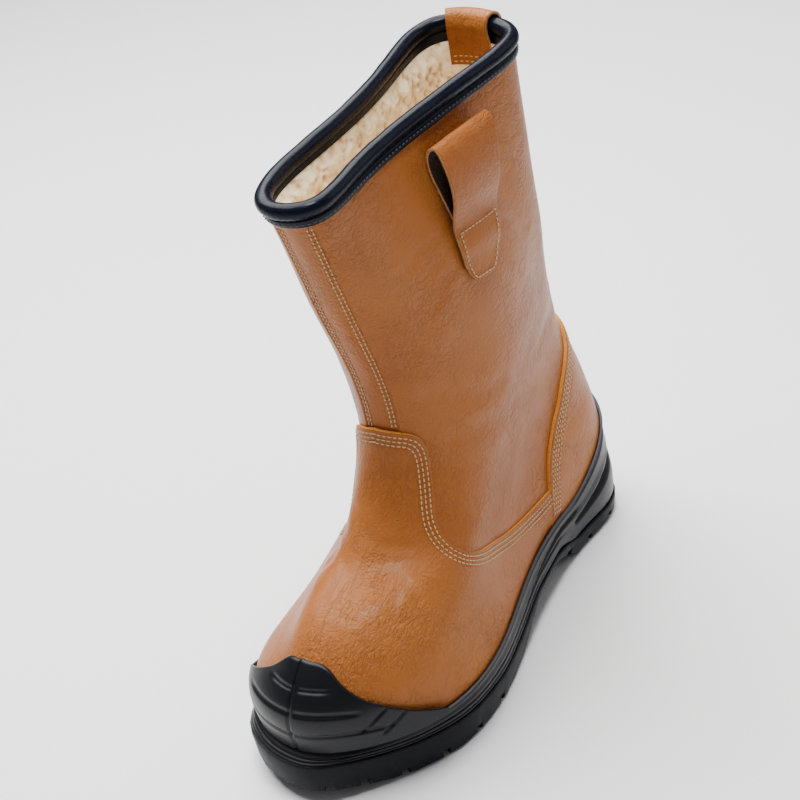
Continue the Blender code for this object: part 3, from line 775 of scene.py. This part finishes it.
class BootColours(bpy.types.PropertyGroup):
    """Colours of the leather, the rubber and the fleece."""

    leather: colour("Leather", "Tan grain leather of vamp and shaft", (0.295, 0.088, 0.0180))
    leather_light: colour("Leather, light", "Lighter clouds in the leather", (0.370, 0.122, 0.0250))
    # Darker leather: painted shade in the wrinkles and creases, and the leather's own darker pores
    leather_dark: colour("Leather, dark", "Creases and pores of the leather", (0.105, 0.033, 0.0085))
    edge: colour("Raw edge", "Cut edges of the overlays", (0.800, 0.300, 0.030))
    rubber: colour("Rubber", "Sole, side and toe cap", (0.0042, 0.0043, 0.0062))
    binding: colour("Binding", "Padded roll around the collar", (0.0022, 0.0032, 0.0085))
    # The fleece colour also tints its painted glow and, darkened, its painted shade
    fleece: colour("Fleece", "Curly lining", (1.000, 0.760, 0.460))
    thread: colour("Thread", "Stitches", (0.640, 0.420, 0.230))


class BootSizes(bpy.types.PropertyGroup):
    """Sizes that a user may change, in millimetres."""

    crease_depth: size("Crease depth", "Scale of the creases in the leather", 1.0, 0.0, 2.0)
    stitch_length: size("Stitch length", "Length of a stitch, in millimetres", 2.0, 1.0, 6.0)
    stitch_gap: size("Stitch gap", "Gap between two stitches, in millimetres", 0.7, 0.2, 4.0)
    thread_width: size("Thread width", "Width of the thread, in millimetres", 0.75, 0.3, 2.0)
    pile: size("Pile", "Mean thickness of the fleece, in millimetres", 6.0, 2.0, 12.0)


def add_piece(name, mesh, colours, replaced=None):
    """A piece for a mesh: smooth, with its finishes, riding on the boot in place of a solid."""
    mesh.materials.clear()
    for one in colours:
        mesh.materials.append(palette()[one])
    mesh.shade_smooth()
    piece = bpy.data.objects.new(name, mesh)
    bpy.context.scene.collection.objects.link(piece)
    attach(piece, "root")
    if replaced:
        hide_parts(replaced)
    return piece


def mesh_object(name, points, faces, colours, replaced=None, fields=None):
    """A piece from points in millimetres and faces, with its fields as attributes."""
    mesh = bpy.data.meshes.new(name)
    mesh.from_pydata((np.asarray(points) * MM).tolist(), [], faces)
    for field, values in (fields or {}).items():
        layer = mesh.attributes.new(field, "FLOAT", "POINT")
        layer.data.foreach_set("value", np.asarray(values, np.float32).ravel())
    return add_piece(name, mesh, colours, replaced)


def grid_object(name, points, colours, replaced=None, fields=None,
                wrap_rows=False, wrap_columns=False):
    """A piece from a grid of points, joined by quads that face up cross along.

    Where only the rows wrap, it is a tube, and a face closes it at each end.
    """
    rows, count = points.shape[:2]
    index = np.arange(rows * count).reshape(rows, count)
    if wrap_rows:
        index = np.concatenate([index, index[:1]])
    if wrap_columns:
        index = np.concatenate([index, index[:, :1]], axis=1)
    quads = np.stack([index[:-1, :-1], index[1:, :-1], index[1:, 1:], index[:-1, 1:]], axis=-1)
    faces = quads.reshape(-1, 4).tolist()
    if wrap_rows and not wrap_columns:
        faces += [index[:0:-1, 0].tolist(), index[1:, -1].tolist()]
    return mesh_object(name, points.reshape(-1, 3), faces, colours, replaced, fields)


def thicken(piece, thickness, back=0, rim=0):
    """Give a sheet its wall, inward, with materials of its own on the back and on the rim."""
    wall = piece.modifiers.new("wall", "SOLIDIFY")
    wall.thickness = thickness * MM
    wall.offset = -1.0
    wall.use_even_offset = False
    wall.material_offset = back
    wall.material_offset_rim = rim


def stitches(name, lines, thread="waxed thread", out_of=0.0):
    """Stitches along lines of points: rounded thread from one hole to the next.

    Each line is an array of points with the normals beside them. It is cut into equal pitches, and
    each stitch is a lens-shaped tube whose middle stands out of the surface.
    """
    sizes = bpy.context.scene.rigger_boot_sizes
    half = sizes.stitch_length / 2
    radius = sizes.thread_width / 2
    pitch = sizes.stitch_length + sizes.stitch_gap
    around = np.linspace(0.0, 2.0 * np.pi, THREAD_SIDES, endpoint=False)[:, None]
    share, girth, lift = columns(STITCH, 1, 4).T[..., None]
    points, faces, start = [], [], 0
    for line, normals in lines:
        travel = travel_along(line)
        count = max(int(travel[-1] / pitch), 1)
        middle = (np.arange(count) + 0.5) * travel[-1] / count

        def at(distance, values):
            return np.stack([np.interp(distance, travel, values[:, k]) for k in range(3)], axis=-1)

        forward = unit(at(middle + half, line) - at(middle - half, line))[:, None]
        normal = unit(at(middle, normals))[:, None]
        side = unit(np.cross(forward, normal))
        spine = at(middle, line)[:, None] + forward * (share * half) + normal * (lift + out_of)
        circle = (side[..., None, :] * np.cos(around)
                  + normal[..., None, :] * np.sin(around) * THREAD_FLATNESS)
        tube = spine[:, :, None] + circle * (girth * radius)[..., None]
        index = start + np.arange(tube[..., 0].size).reshape(tube.shape[:3])
        after = np.roll(index, -1, axis=2)
        quads = np.stack([index[:, 1:], after[:, 1:], after[:, :-1], index[:, :-1]], axis=-1)
        faces.extend(quads.reshape(-1, 4).tolist())
        faces.extend(index[:, 0].tolist())
        faces.extend(index[:, -1, ::-1].tolist())
        points.append(tube.reshape(-1, 3))
        start += index.size
    mesh_object(name, np.concatenate(points), faces, [thread])


def soften(values, window):
    """A running mean, over windows that shrink to one value at both ends."""
    place = np.arange(len(values))
    reach = np.minimum(np.minimum(place, place[::-1]), window)
    total = np.append(0.0, np.cumsum(values))
    return (total[place + reach + 1] - total[place - reach]) / (2 * reach + 1)


def edge_curve(plan, side, count, end=1.0):
    """Turn and level along an overlay's edge, evenly spaced on the surface."""
    edge = columns(plan["edge"], 1, 3)
    fine = np.linspace(0.0, edge[-1, 0] * end, 900)
    level = smooth(fine, edge[:, 0], edge[:, 1])
    place = upper_surface(plan["middle"] + side * fine, level)
    travel = travel_along(place)
    even = np.linspace(0.0, travel[-1], count)
    window = int(count * EDGE_ROUNDING / travel[-1])
    away, level = (soften(np.interp(even, travel, values), window) for values in (fine, level))
    return plan["middle"] + side * away, level


def beside_edge(turn, level, away, side):
    """Move a curve on the upper sideways by a distance, through the surface's own slopes."""
    along, up = upper_slopes(turn, level)
    place = upper_surface(turn, level)
    forward = unit(np.gradient(place, axis=0))
    sideways = np.cross(upper_normal(turn, level), forward) * side * away
    metric = np.stack([along, up], axis=-1)
    moved = np.stack([np.linalg.lstsq(m, s, rcond=None)[0] for m, s in zip(metric, sideways)])
    return turn + moved[:, 0], level + moved[:, 1]


def overlay(plan):
    """An overlay: columns that end on its edge, rows from its foot up, and a crisp cut rim."""
    halves = [edge_curve(plan, side, plan["columns"]) for side in (-1.0, 1.0)]
    turn, top = (np.concatenate([left[:0:-1], right]) for left, right in zip(*halves))
    share = 1.0 - (1.0 - np.linspace(0.0, 1.0, plan["rows"])) ** 1.25
    level = plan["foot"] + (top - plan["foot"]) * share[:, None]
    base = upper_surface(turn, level)
    to_rim = distance_to(base, upper_surface(turn, top)[::4])
    relief = crease_relief(base) * ramp(to_rim, 0.0, 8.0)
    rounded = 0.45 * (1.0 - np.clip(to_rim / 1.3, 0.0, 1.0)) ** 2
    groove = sum(0.28 * dip(to_rim, row, 1.1) for row in plan["sewn"])
    face = on_upper(turn, level, plan["out"] + relief - rounded - groove)
    cut = [on_upper(turn, top, plan["out"] * share) for share in (0.7, 0.3)]
    back = on_upper(turn, level[::-3], UNDER_OVERLAY)
    points = np.concatenate([face, cut, back])
    piece = grid_object(plan["name"] + "_skin", points, ["tan leather", "raw edge"],
                        plan["name"], wrap_rows=True)
    band = np.zeros((len(points), len(turn) - 1), np.int32)
    band[len(face) - 1:len(face) + 2] = 1
    piece.data.polygons.foreach_set("material_index", np.append(band.ravel(), (1, 1)))


def overlay_stitches(plan):
    """The stitch rows inside an overlay's edge, on both sides of the boot."""
    lines = []
    for side in (-1.0, 1.0):
        turn, level = edge_curve(plan, side, SEWN_POINTS, plan["sewn_to"])
        for away in plan["sewn"]:
            sewn = beside_edge(turn, level, away, side)
            lines.append((on_upper(*sewn, plan["out"] - 0.15), upper_normal(*sewn)))
    stitches(plan["name"] + "_stitches", lines)


class BOOT_OT_upper(bpy.types.Operator):
    """The upper's skin with its creases, the front strip and its seams."""

    bl_idname = "boot.upper"
    bl_label = "Upper"

    def execute(self, context):
        turn = np.unique(np.concatenate([ring(UPPER_COLUMNS), np.linspace(*STRIP_COLUMNS)]))
        level = stretches(UPPER_ROWS)
        turns, levels = np.meshgrid(turn, level)
        calm = ramp(levels, 9.99, 9.80) * ramp(levels, 0.6, 1.6)
        relief = skin_relief(turns, levels, upper_surface(turns, levels)) * calm
        outer = on_upper(turns, levels, np.minimum(relief, RELIEF_MOST))
        inner = on_upper(turn, level[::-6, None], -WALL)
        grid_object("upper_skin", np.concatenate([outer, inner]), ["tan leather"], "upper",
                    wrap_rows=True, wrap_columns=True)
        return {"FINISHED"}


class BOOT_OT_vamp(bpy.types.Operator):
    """The vamp over the toe and instep, with its tab and cut edge."""

    bl_idname = "boot.vamp"
    bl_label = "Vamp"

    def execute(self, context):
        overlay(VAMP)
        return {"FINISHED"}


class BOOT_OT_counter(bpy.types.Operator):
    """The counter around the back of the heel."""

    bl_idname = "boot.counter"
    bl_label = "Counter"

    def execute(self, context):
        overlay(COUNTER)
        return {"FINISHED"}


class BOOT_OT_sole(bpy.types.Operator):
    """The midsole's side with its steps and grooves, and the finish of the tread unit."""

    bl_idname = "boot.sole"
    bl_label = "Sole"

    def execute(self, context):
        turn = ring(SOLE_COLUMNS)
        y = along_sole(turn)
        foot_height = sole_height(y, 2) + 0.15
        foot = np.column_stack([sole_plan(turn), foot_height])
        lip = lip_level(turn)
        brim = on_upper(turn, lip, CUP_OUT + LIP_THICKNESS)
        outward = unit(brim - on_upper(turn, lip, CUP_OUT))
        rise = np.linspace(0.0, 1.0, 42)[:, None]
        side = foot + (brim - foot) * rise[..., None] + outward * side_pattern(turn, rise)[..., None]
        tick = 0.7 * dip((y / 9.0) % 1.0, 0.5, 0.16) * ramp(np.abs(y), 40.0, 60.0)
        crown = on_upper(turn, lip + 0.012, CUP_OUT + LIP_THICKNESS * 0.55 - 0.5 * tick)
        inner = [on_upper(turn, share * lip, CUP_OUT - 0.3) for share in (0.98, 0.6, 0.2)]
        under = np.column_stack([sole_plan(turn, -9.0), foot_height])
        points = np.concatenate([side, [crown], inner, [under]])
        # Where the side rubber gets its painted highlight: the top of the side and the lip's crown row
        lip_highlight = np.zeros(points.shape[:2])
        lip_highlight[:len(rise)] = dip(rise, 1.0, 0.05) * 0.8
        lip_highlight[len(rise)] = 0.8
        grid_object("midsole_side", points, ["side rubber"], "midsole", {"lip": lip_highlight},
                    wrap_rows=True, wrap_columns=True)
        softened("outsole", "tread_unit", "sole rubber", 0.6)
        softened("insole", "sock_bed", "felt sock", 0.8)
        return {"FINISHED"}


def softened(node, name, colour_name, radius):
    """A copy of a solid's own mesh with its points merged, its edges rounded and its faces smooth."""
    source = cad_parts[node]
    mesh = source.data.copy()
    mesh.transform(source.matrix_world)
    soup = bmesh.new()
    soup.from_mesh(mesh)
    bmesh.ops.remove_doubles(soup, verts=soup.verts, dist=0.01 * MM)
    soup.to_mesh(mesh)
    soup.free()
    rounding = add_piece(name, mesh, [colour_name], node).modifiers.new("rounding", "BEVEL")
    rounding.width = radius * MM
    rounding.segments = 2
    rounding.limit_method = "ANGLE"
    rounding.angle_limit = math.radians(32.0)
    rounding.harden_normals = True


def side_pattern(turn, rise):
    """Relief of the midsole's side: a ridge, a long groove, the heel's teardrop and a foot step."""
    from_heel = np.minimum(turn % 1.0, 1.0 - turn % 1.0)
    groove = 2.2 * dip(rise, 0.38, 0.075) * np.clip((from_heel - 0.17) / 0.04, 0.0, 1.0)
    second = 1.2 * dip(rise, 0.16, 0.045) * np.clip((from_heel - 0.20) / 0.05, 0.0, 1.0)
    ridge = 0.9 * dip(rise, 0.56, 0.16)
    bulge = dip(rise, 0.30, 0.30) * np.clip((0.16 - from_heel) / 0.05, 0.0, 1.0)
    tear_reach = ramp(from_heel, 0.050, 0.070) * ramp(from_heel, 0.172, 0.160)
    teardrop = 3.4 * dip(rise, 0.50 - 1.2 * (from_heel - 0.115), 0.12) * tear_reach
    swoosh_reach = ramp(from_heel, 0.155, 0.175) * ramp(from_heel, 0.325, 0.28)
    swoosh_line = 0.72 - 2.6 * np.clip(from_heel - 0.165, 0.0, 0.14)
    swoosh = 1.7 * dip(rise, swoosh_line, 0.060) * swoosh_reach
    foot = 0.8 * dip(rise, 0.0, 0.06)
    lip_bead = 0.7 * dip(rise, 1.0, 0.045) - 1.1 * dip(rise, 0.91, 0.035)
    return ridge + bulge + lip_bead - groove - second - teardrop - swoosh - foot


class BOOT_OT_cap(bpy.types.Operator):
    """The rubber toe cap with its seam, long grooves and slanted slots."""

    bl_idname = "boot.cap"
    bl_label = "Toe cap"

    def execute(self, context):
        edge = columns(CAP_EDGE, 1, 3)
        away = np.linspace(-edge[-1, 0], edge[-1, 0], 250)
        top = smooth(np.abs(away), edge[:, 0], edge[:, 1])
        share = np.linspace(0.0, 1.0, 90)[:, None]
        level = CAP_FOOT + (top - CAP_FOOT) * share
        turn = 0.5 + away
        thickness = 1.3 + 2.2 * np.clip((2.6 - level) / 1.6, 0.0, 1.0)
        edge_roll = 0.9 * (1.0 - np.clip((1.0 - share) * 26.0, 0.0, 1.0)) ** 2
        relief = cap_grooves(0.5 - turn, level) + edge_roll
        points = on_upper(turn, level, CAP_OUT + thickness - relief)
        thicken(grid_object("toe_cap", points, ["side rubber"], "scuff_cap"), 1.2)
        return {"FINISHED"}


def cap_grooves(across, level):
    """Depth of the toe cap's seam, of the grooves that sweep across it, and of the side slots."""
    depth = 0.9 * dip(across, -0.003, 0.0022)
    for name, middle_level, slope, start, end, deep in CAP_GROOVES:
        line = middle_level + slope * np.abs(across) - 26.0 * across ** 2
        reach = ramp(np.abs(across), end, end - 0.02) * ramp(np.abs(across), start - 0.004, start + 0.004)
        depth = depth + deep * dip(level, line, 0.085) * reach
    for name, first, foot, lean in CAP_SLOTS:
        line = first + (level - foot) * lean
        inside = ramp(level, foot - 0.22, foot - 0.12) * ramp(level, foot + 0.28, foot + 0.16)
        depth = depth + 1.1 * dip(np.abs(across), line, 0.0030) * inside
    return depth


class BOOT_OT_collar(bpy.types.Operator):
    """The padded roll around the collar, with its flange outside and its facing inside."""

    bl_idname = "boot.collar"
    bl_label = "Collar"

    def execute(self, context):
        turn = ring(COLLAR_COLUMNS)
        rings = []
        for out, height in smooth_path(BINDING_SECTION, 3, 3 * len(BINDING_SECTION) - 2):
            pucker = 0.10 * np.cos(turn * 2.0 * np.pi * PUCKERS) * dip(height, -4.5, 3.0)
            rings.append(along_collar(turn, out + pucker, height))
        points = np.stack(rings)
        points = points + 0.16 * ripple(points, 17.0, 11)[..., None] * unit(points - points.mean(axis=0))
        roll = grid_object("collar_roll", points, ["collar leather"], "collar_binding",
                           wrap_rows=True, wrap_columns=True)
        return {"FINISHED"}


class BOOT_OT_lining(bpy.types.Operator):
    """The curly fleece inside the shaft."""

    bl_idname = "boot.lining"
    bl_label = "Fleece lining"

    def execute(self, context):
        pile = context.scene.rigger_boot_sizes.pile
        turn = ring(FLEECE_COLUMNS)
        level = stretches(FLEECE_ROWS)
        turns, levels = np.meshgrid(turn, level)
        base = upper_surface(turns, levels)
        blobs = np.maximum(ripple(base, 9.5, 21, 14), -0.6)
        curls = ripple(base + 1.5 * ripple(base, 9.0, 24)[..., None], 5.2, 22, 16)
        tuft = 0.5 + 0.30 * blobs + 0.34 * curls
        under_tab = dip((turns + 0.5) % 1.0 - 0.5, 0.0, 0.085) * ramp(levels, 9.55, 9.66)
        thin = ramp(levels, 9.885, 9.80) * (1.0 - np.minimum(1.6 * under_tab, 1.0))
        depth = WALL + 1.0 + (pile - 3.2 + 4.6 * tuft) * (0.30 + 0.70 * thin)
        inner = on_upper(turns, levels, -depth)
        backing = on_upper(turn, level[::-8, None], -WALL - 0.15)
        points = np.concatenate([inner[::-1], backing[::-1]])
        # Tuft heights for the finish: where they are low, the fleece gets its painted shade
        tufts = np.concatenate([tuft[::-1], np.full(backing.shape[:2], 0.3)])
        grid_object("fleece_lining", points, ["fleece with painted glow and shade"], None, {"tuft": tufts},
                    wrap_rows=True, wrap_columns=True)
        return {"FINISHED"}


def strap_sheet(name, points, replaced):
    """A leather strap: grain outside, flesh side within and a light cut edge."""
    colours = ["strap leather", "flesh side", "strap edge"]
    thicken(grid_object(name, points, colours, replaced), STRAP, back=1, rim=2)


def loop_grid(middle, side, along_count, across_count):
    """Turns, levels and distances of a pull loop's outer face, and heights above its foot."""
    out, height, half_width = smooth_path(LOOP_PATH, 4, along_count).T[:, :, None]
    across = np.linspace(-1.0, 1.0, across_count)
    level = SHAFT_LEVEL + (LOOP_FOOT_Z + height - SHAFT_LEVEL_Z) / LEVEL_RISE
    nearby = upper_surface(np.array([middle, middle + 0.01]), 9.4)
    turn_per_mm = 0.01 / np.linalg.norm(nearby[1] - nearby[0])
    lean = side * LOOP_TILT * (height / LOOP_PIVOT - 1.0)
    return middle + across * half_width * turn_per_mm + lean, level, out, height


class BOOT_OT_straps(bpy.types.Operator):
    """The pull loops at both sides and the tab over the collar at the back."""

    bl_idname = "boot.straps"
    bl_label = "Pull loops and back tab"

    def execute(self, context):
        for name, middle, side in LOOPS:
            turn, level, out, height = loop_grid(middle, side, *LOOP_GRID)
            points = on_upper(turn, level, out)
            points = points + 0.22 * ripple(points, 16.0, 31)[..., None] * upper_normal(turn, level)
            strap_sheet("loop_" + name, points[::-1], "pull_loop_" + name)
        turn = np.linspace(-TAB_HALF_TURN, TAB_HALF_TURN, 30)
        rows = np.stack([along_collar(turn, out, up) for out, up in smooth_path(TAB_PATH, 3, 90)])
        strap_sheet("collar_tab", rows + 0.12 * ripple(rows, 14.0, 37)[..., None], "back_tab")
        return {"FINISHED"}


class BOOT_OT_stitches(bpy.types.Operator):
    """Every row of stitches on overlays, seams, straps and binding."""

    bl_idname = "boot.stitches"
    bl_label = "Stitches"

    def execute(self, context):
        overlay_stitches(VAMP)
        overlay_stitches(COUNTER)
        seams = []
        level = np.linspace(SEAM_FOOT + 0.08, 9.87, 160)
        for name, side, at_collar, at_vamp in SHAFT_SEAMS:
            for away in SEAM_ROWS:
                sewn = beside_edge(seam_turn(level, at_collar, at_vamp), level, away, side)
                height = skin_relief(*sewn, upper_surface(*sewn)) * ramp(level, 9.99, 9.80)
                seams.append((on_upper(*sewn, height), upper_normal(*sewn)))
        stitches("seam_stitches", seams, out_of=0.05)
        turn = np.linspace(0.0, 1.0, 500)
        stitches("binding_stitches", [(along_collar(turn, 1.5, -8.2), upper_normal(turn, LAST_LEVEL))],
                 "grey thread")
        stitches("strap_stitches", strap_lines(), out_of=0.05)
        return {"FINISHED"}


def strap_lines():
    """Stitch lines around each loop's patch, and two rows through both legs of the back tab."""
    lines = []
    low, high = PATCH_HEIGHTS
    left, right = PATCH_COLUMNS
    for name, middle, side in LOOPS:
        turn, level, out, height = loop_grid(middle, side, *LOOP_SEWING_GRID)
        points = on_upper(turn, level, out)
        normals = upper_normal(turn, level)
        rows = np.arange(len(height))
        patch = rows[(rows > OUTER_LEG_FROM) & (height[:, 0] < high) & (height[:, 0] > low)]
        path = [(patch[0], column) for column in range(right, left - 1, -1)]
        path += [(row, left) for row in patch[1:]]
        path += [(patch[-1], column) for column in range(left + 1, right + 1)]
        path += [(row, right) for row in patch[::-1]]
        at = tuple(np.array(path).T)
        lines.append((points[at], normals[at]))
    turn = np.linspace(-TAB_HALF_TURN * 0.85, TAB_HALF_TURN * 0.85, 30)
    normals = upper_normal(turn, LAST_LEVEL)
    for height in TAB_ROWS:
        lines.append((along_collar(turn, -6.0, height), -normals))
        lines.append((along_collar(turn, 2.2, height - 6.0), normals))
    return lines


class BOOT_OT_stage(bpy.types.Operator):
    """The floor, the lights and the camera at the photograph's angle."""

    bl_idname = "boot.stage"
    bl_label = "Stage"

    def execute(self, context):
        scene = context.scene
        floor_finish = Finish("pale floor", (0.96, 0.96, 0.96), 0.6)
        bpy.ops.mesh.primitive_plane_add(size=FLOOR_SIZE, location=(0.0, 0.0, -FLOOR_DROP))
        floor = context.object
        floor.name = "floor"
        floor.data.materials.append(floor_finish.material)
        turn, height, roll = (math.radians(v) for v in (VIEW_TURN, VIEW_HEIGHT, VIEW_ROLL))
        flat = math.cos(height)
        back = np.array([math.sin(turn) * flat, -math.cos(turn) * flat, math.sin(height)])
        level_right = unit(np.cross(-back, [0.0, 0.0, 1.0]))
        level_up = np.cross(level_right, -back)
        right = math.cos(roll) * level_right + math.sin(roll) * level_up
        up = -math.sin(roll) * level_right + math.cos(roll) * level_up
        place = np.array(VIEW_TARGET) + back * VIEW_DISTANCE + VIEW_SHIFT[0] * right + VIEW_SHIFT[1] * up
        camera = bpy.data.objects.new("camera", bpy.data.cameras.new("camera"))
        scene.collection.objects.link(camera)
        camera.data.sensor_width = SENSOR
        camera.data.lens = FOCAL_PIXELS * SENSOR / FRAME_PIXELS
        camera.matrix_world = facing(right, up, back, place * MM)
        scene.camera = camera
        add_lights(scene, level_right, level_up, back)
        world = scene.world or bpy.data.worlds.new("studio")
        scene.world = world
        world.use_nodes = True
        sky = world.node_tree.nodes["Background"]
        sky.inputs["Color"].default_value = (1.0, 1.0, 1.0, 1.0)
        sky.inputs["Strength"].default_value = SKY_STRENGTH
        return {"FINISHED"}


def facing(right, up, back, place):
    """The matrix of an object at a place in metres that faces away from back."""
    matrix = np.eye(4)
    matrix[:3] = np.column_stack([right, up, back, place])
    return Matrix(matrix.tolist())


def add_lights(scene, right, up, back):
    """Soft boxes aimed at the boot's middle."""
    for name, to_right, above, towards, size_across, power in LIGHTS:
        lamp = bpy.data.lights.new(name, "AREA")
        lamp.energy = power
        lamp.size = size_across
        made = bpy.data.objects.new(name, lamp)
        scene.collection.objects.link(made)
        place = right * to_right + up * above + back * towards + LIGHTS_AIM
        aim = unit(place - LIGHTS_AIM)
        side = unit(np.cross([0.0, 0.0, 1.0], aim))
        made.matrix_world = facing(side, np.cross(aim, side), aim, place)


class BOOT_PT_panel(bpy.types.Panel):
    """Lists the boot's pieces in the sidebar."""

    bl_label = "Rigger boot"
    bl_idname = "BOOT_PT_panel"
    bl_space_type = "VIEW_3D"
    bl_region_type = "UI"
    bl_category = "Rigger boot"

    def draw(self, context):
        for group in (context.scene.rigger_boot_sizes, context.scene.rigger_boot_colours):
            box = self.layout.box()
            for key in group.__annotations__:
                box.prop(group, key)
        for operator in OPERATORS:
            self.layout.operator(operator.bl_idname)


OPERATORS = (BOOT_OT_stage, BOOT_OT_upper, BOOT_OT_vamp, BOOT_OT_counter, BOOT_OT_sole, BOOT_OT_cap,
             BOOT_OT_collar, BOOT_OT_lining, BOOT_OT_straps, BOOT_OT_stitches)
CLASSES = (BootColours, BootSizes, *OPERATORS, BOOT_PT_panel)


def register():
    for one in CLASSES:
        bpy.utils.register_class(one)
    bpy.types.Scene.rigger_boot_colours = bpy.props.PointerProperty(type=BootColours)
    bpy.types.Scene.rigger_boot_sizes = bpy.props.PointerProperty(type=BootSizes)


def unregister():
    del bpy.types.Scene.rigger_boot_sizes
    del bpy.types.Scene.rigger_boot_colours
    for one in reversed(CLASSES):
        bpy.utils.unregister_class(one)


def main():
    """Make every piece."""
    register()
    for operator in OPERATORS:
        group, name = operator.bl_idname.split(".")
        getattr(getattr(bpy.ops, group), name)()


if __name__ == "__main__":
    main()
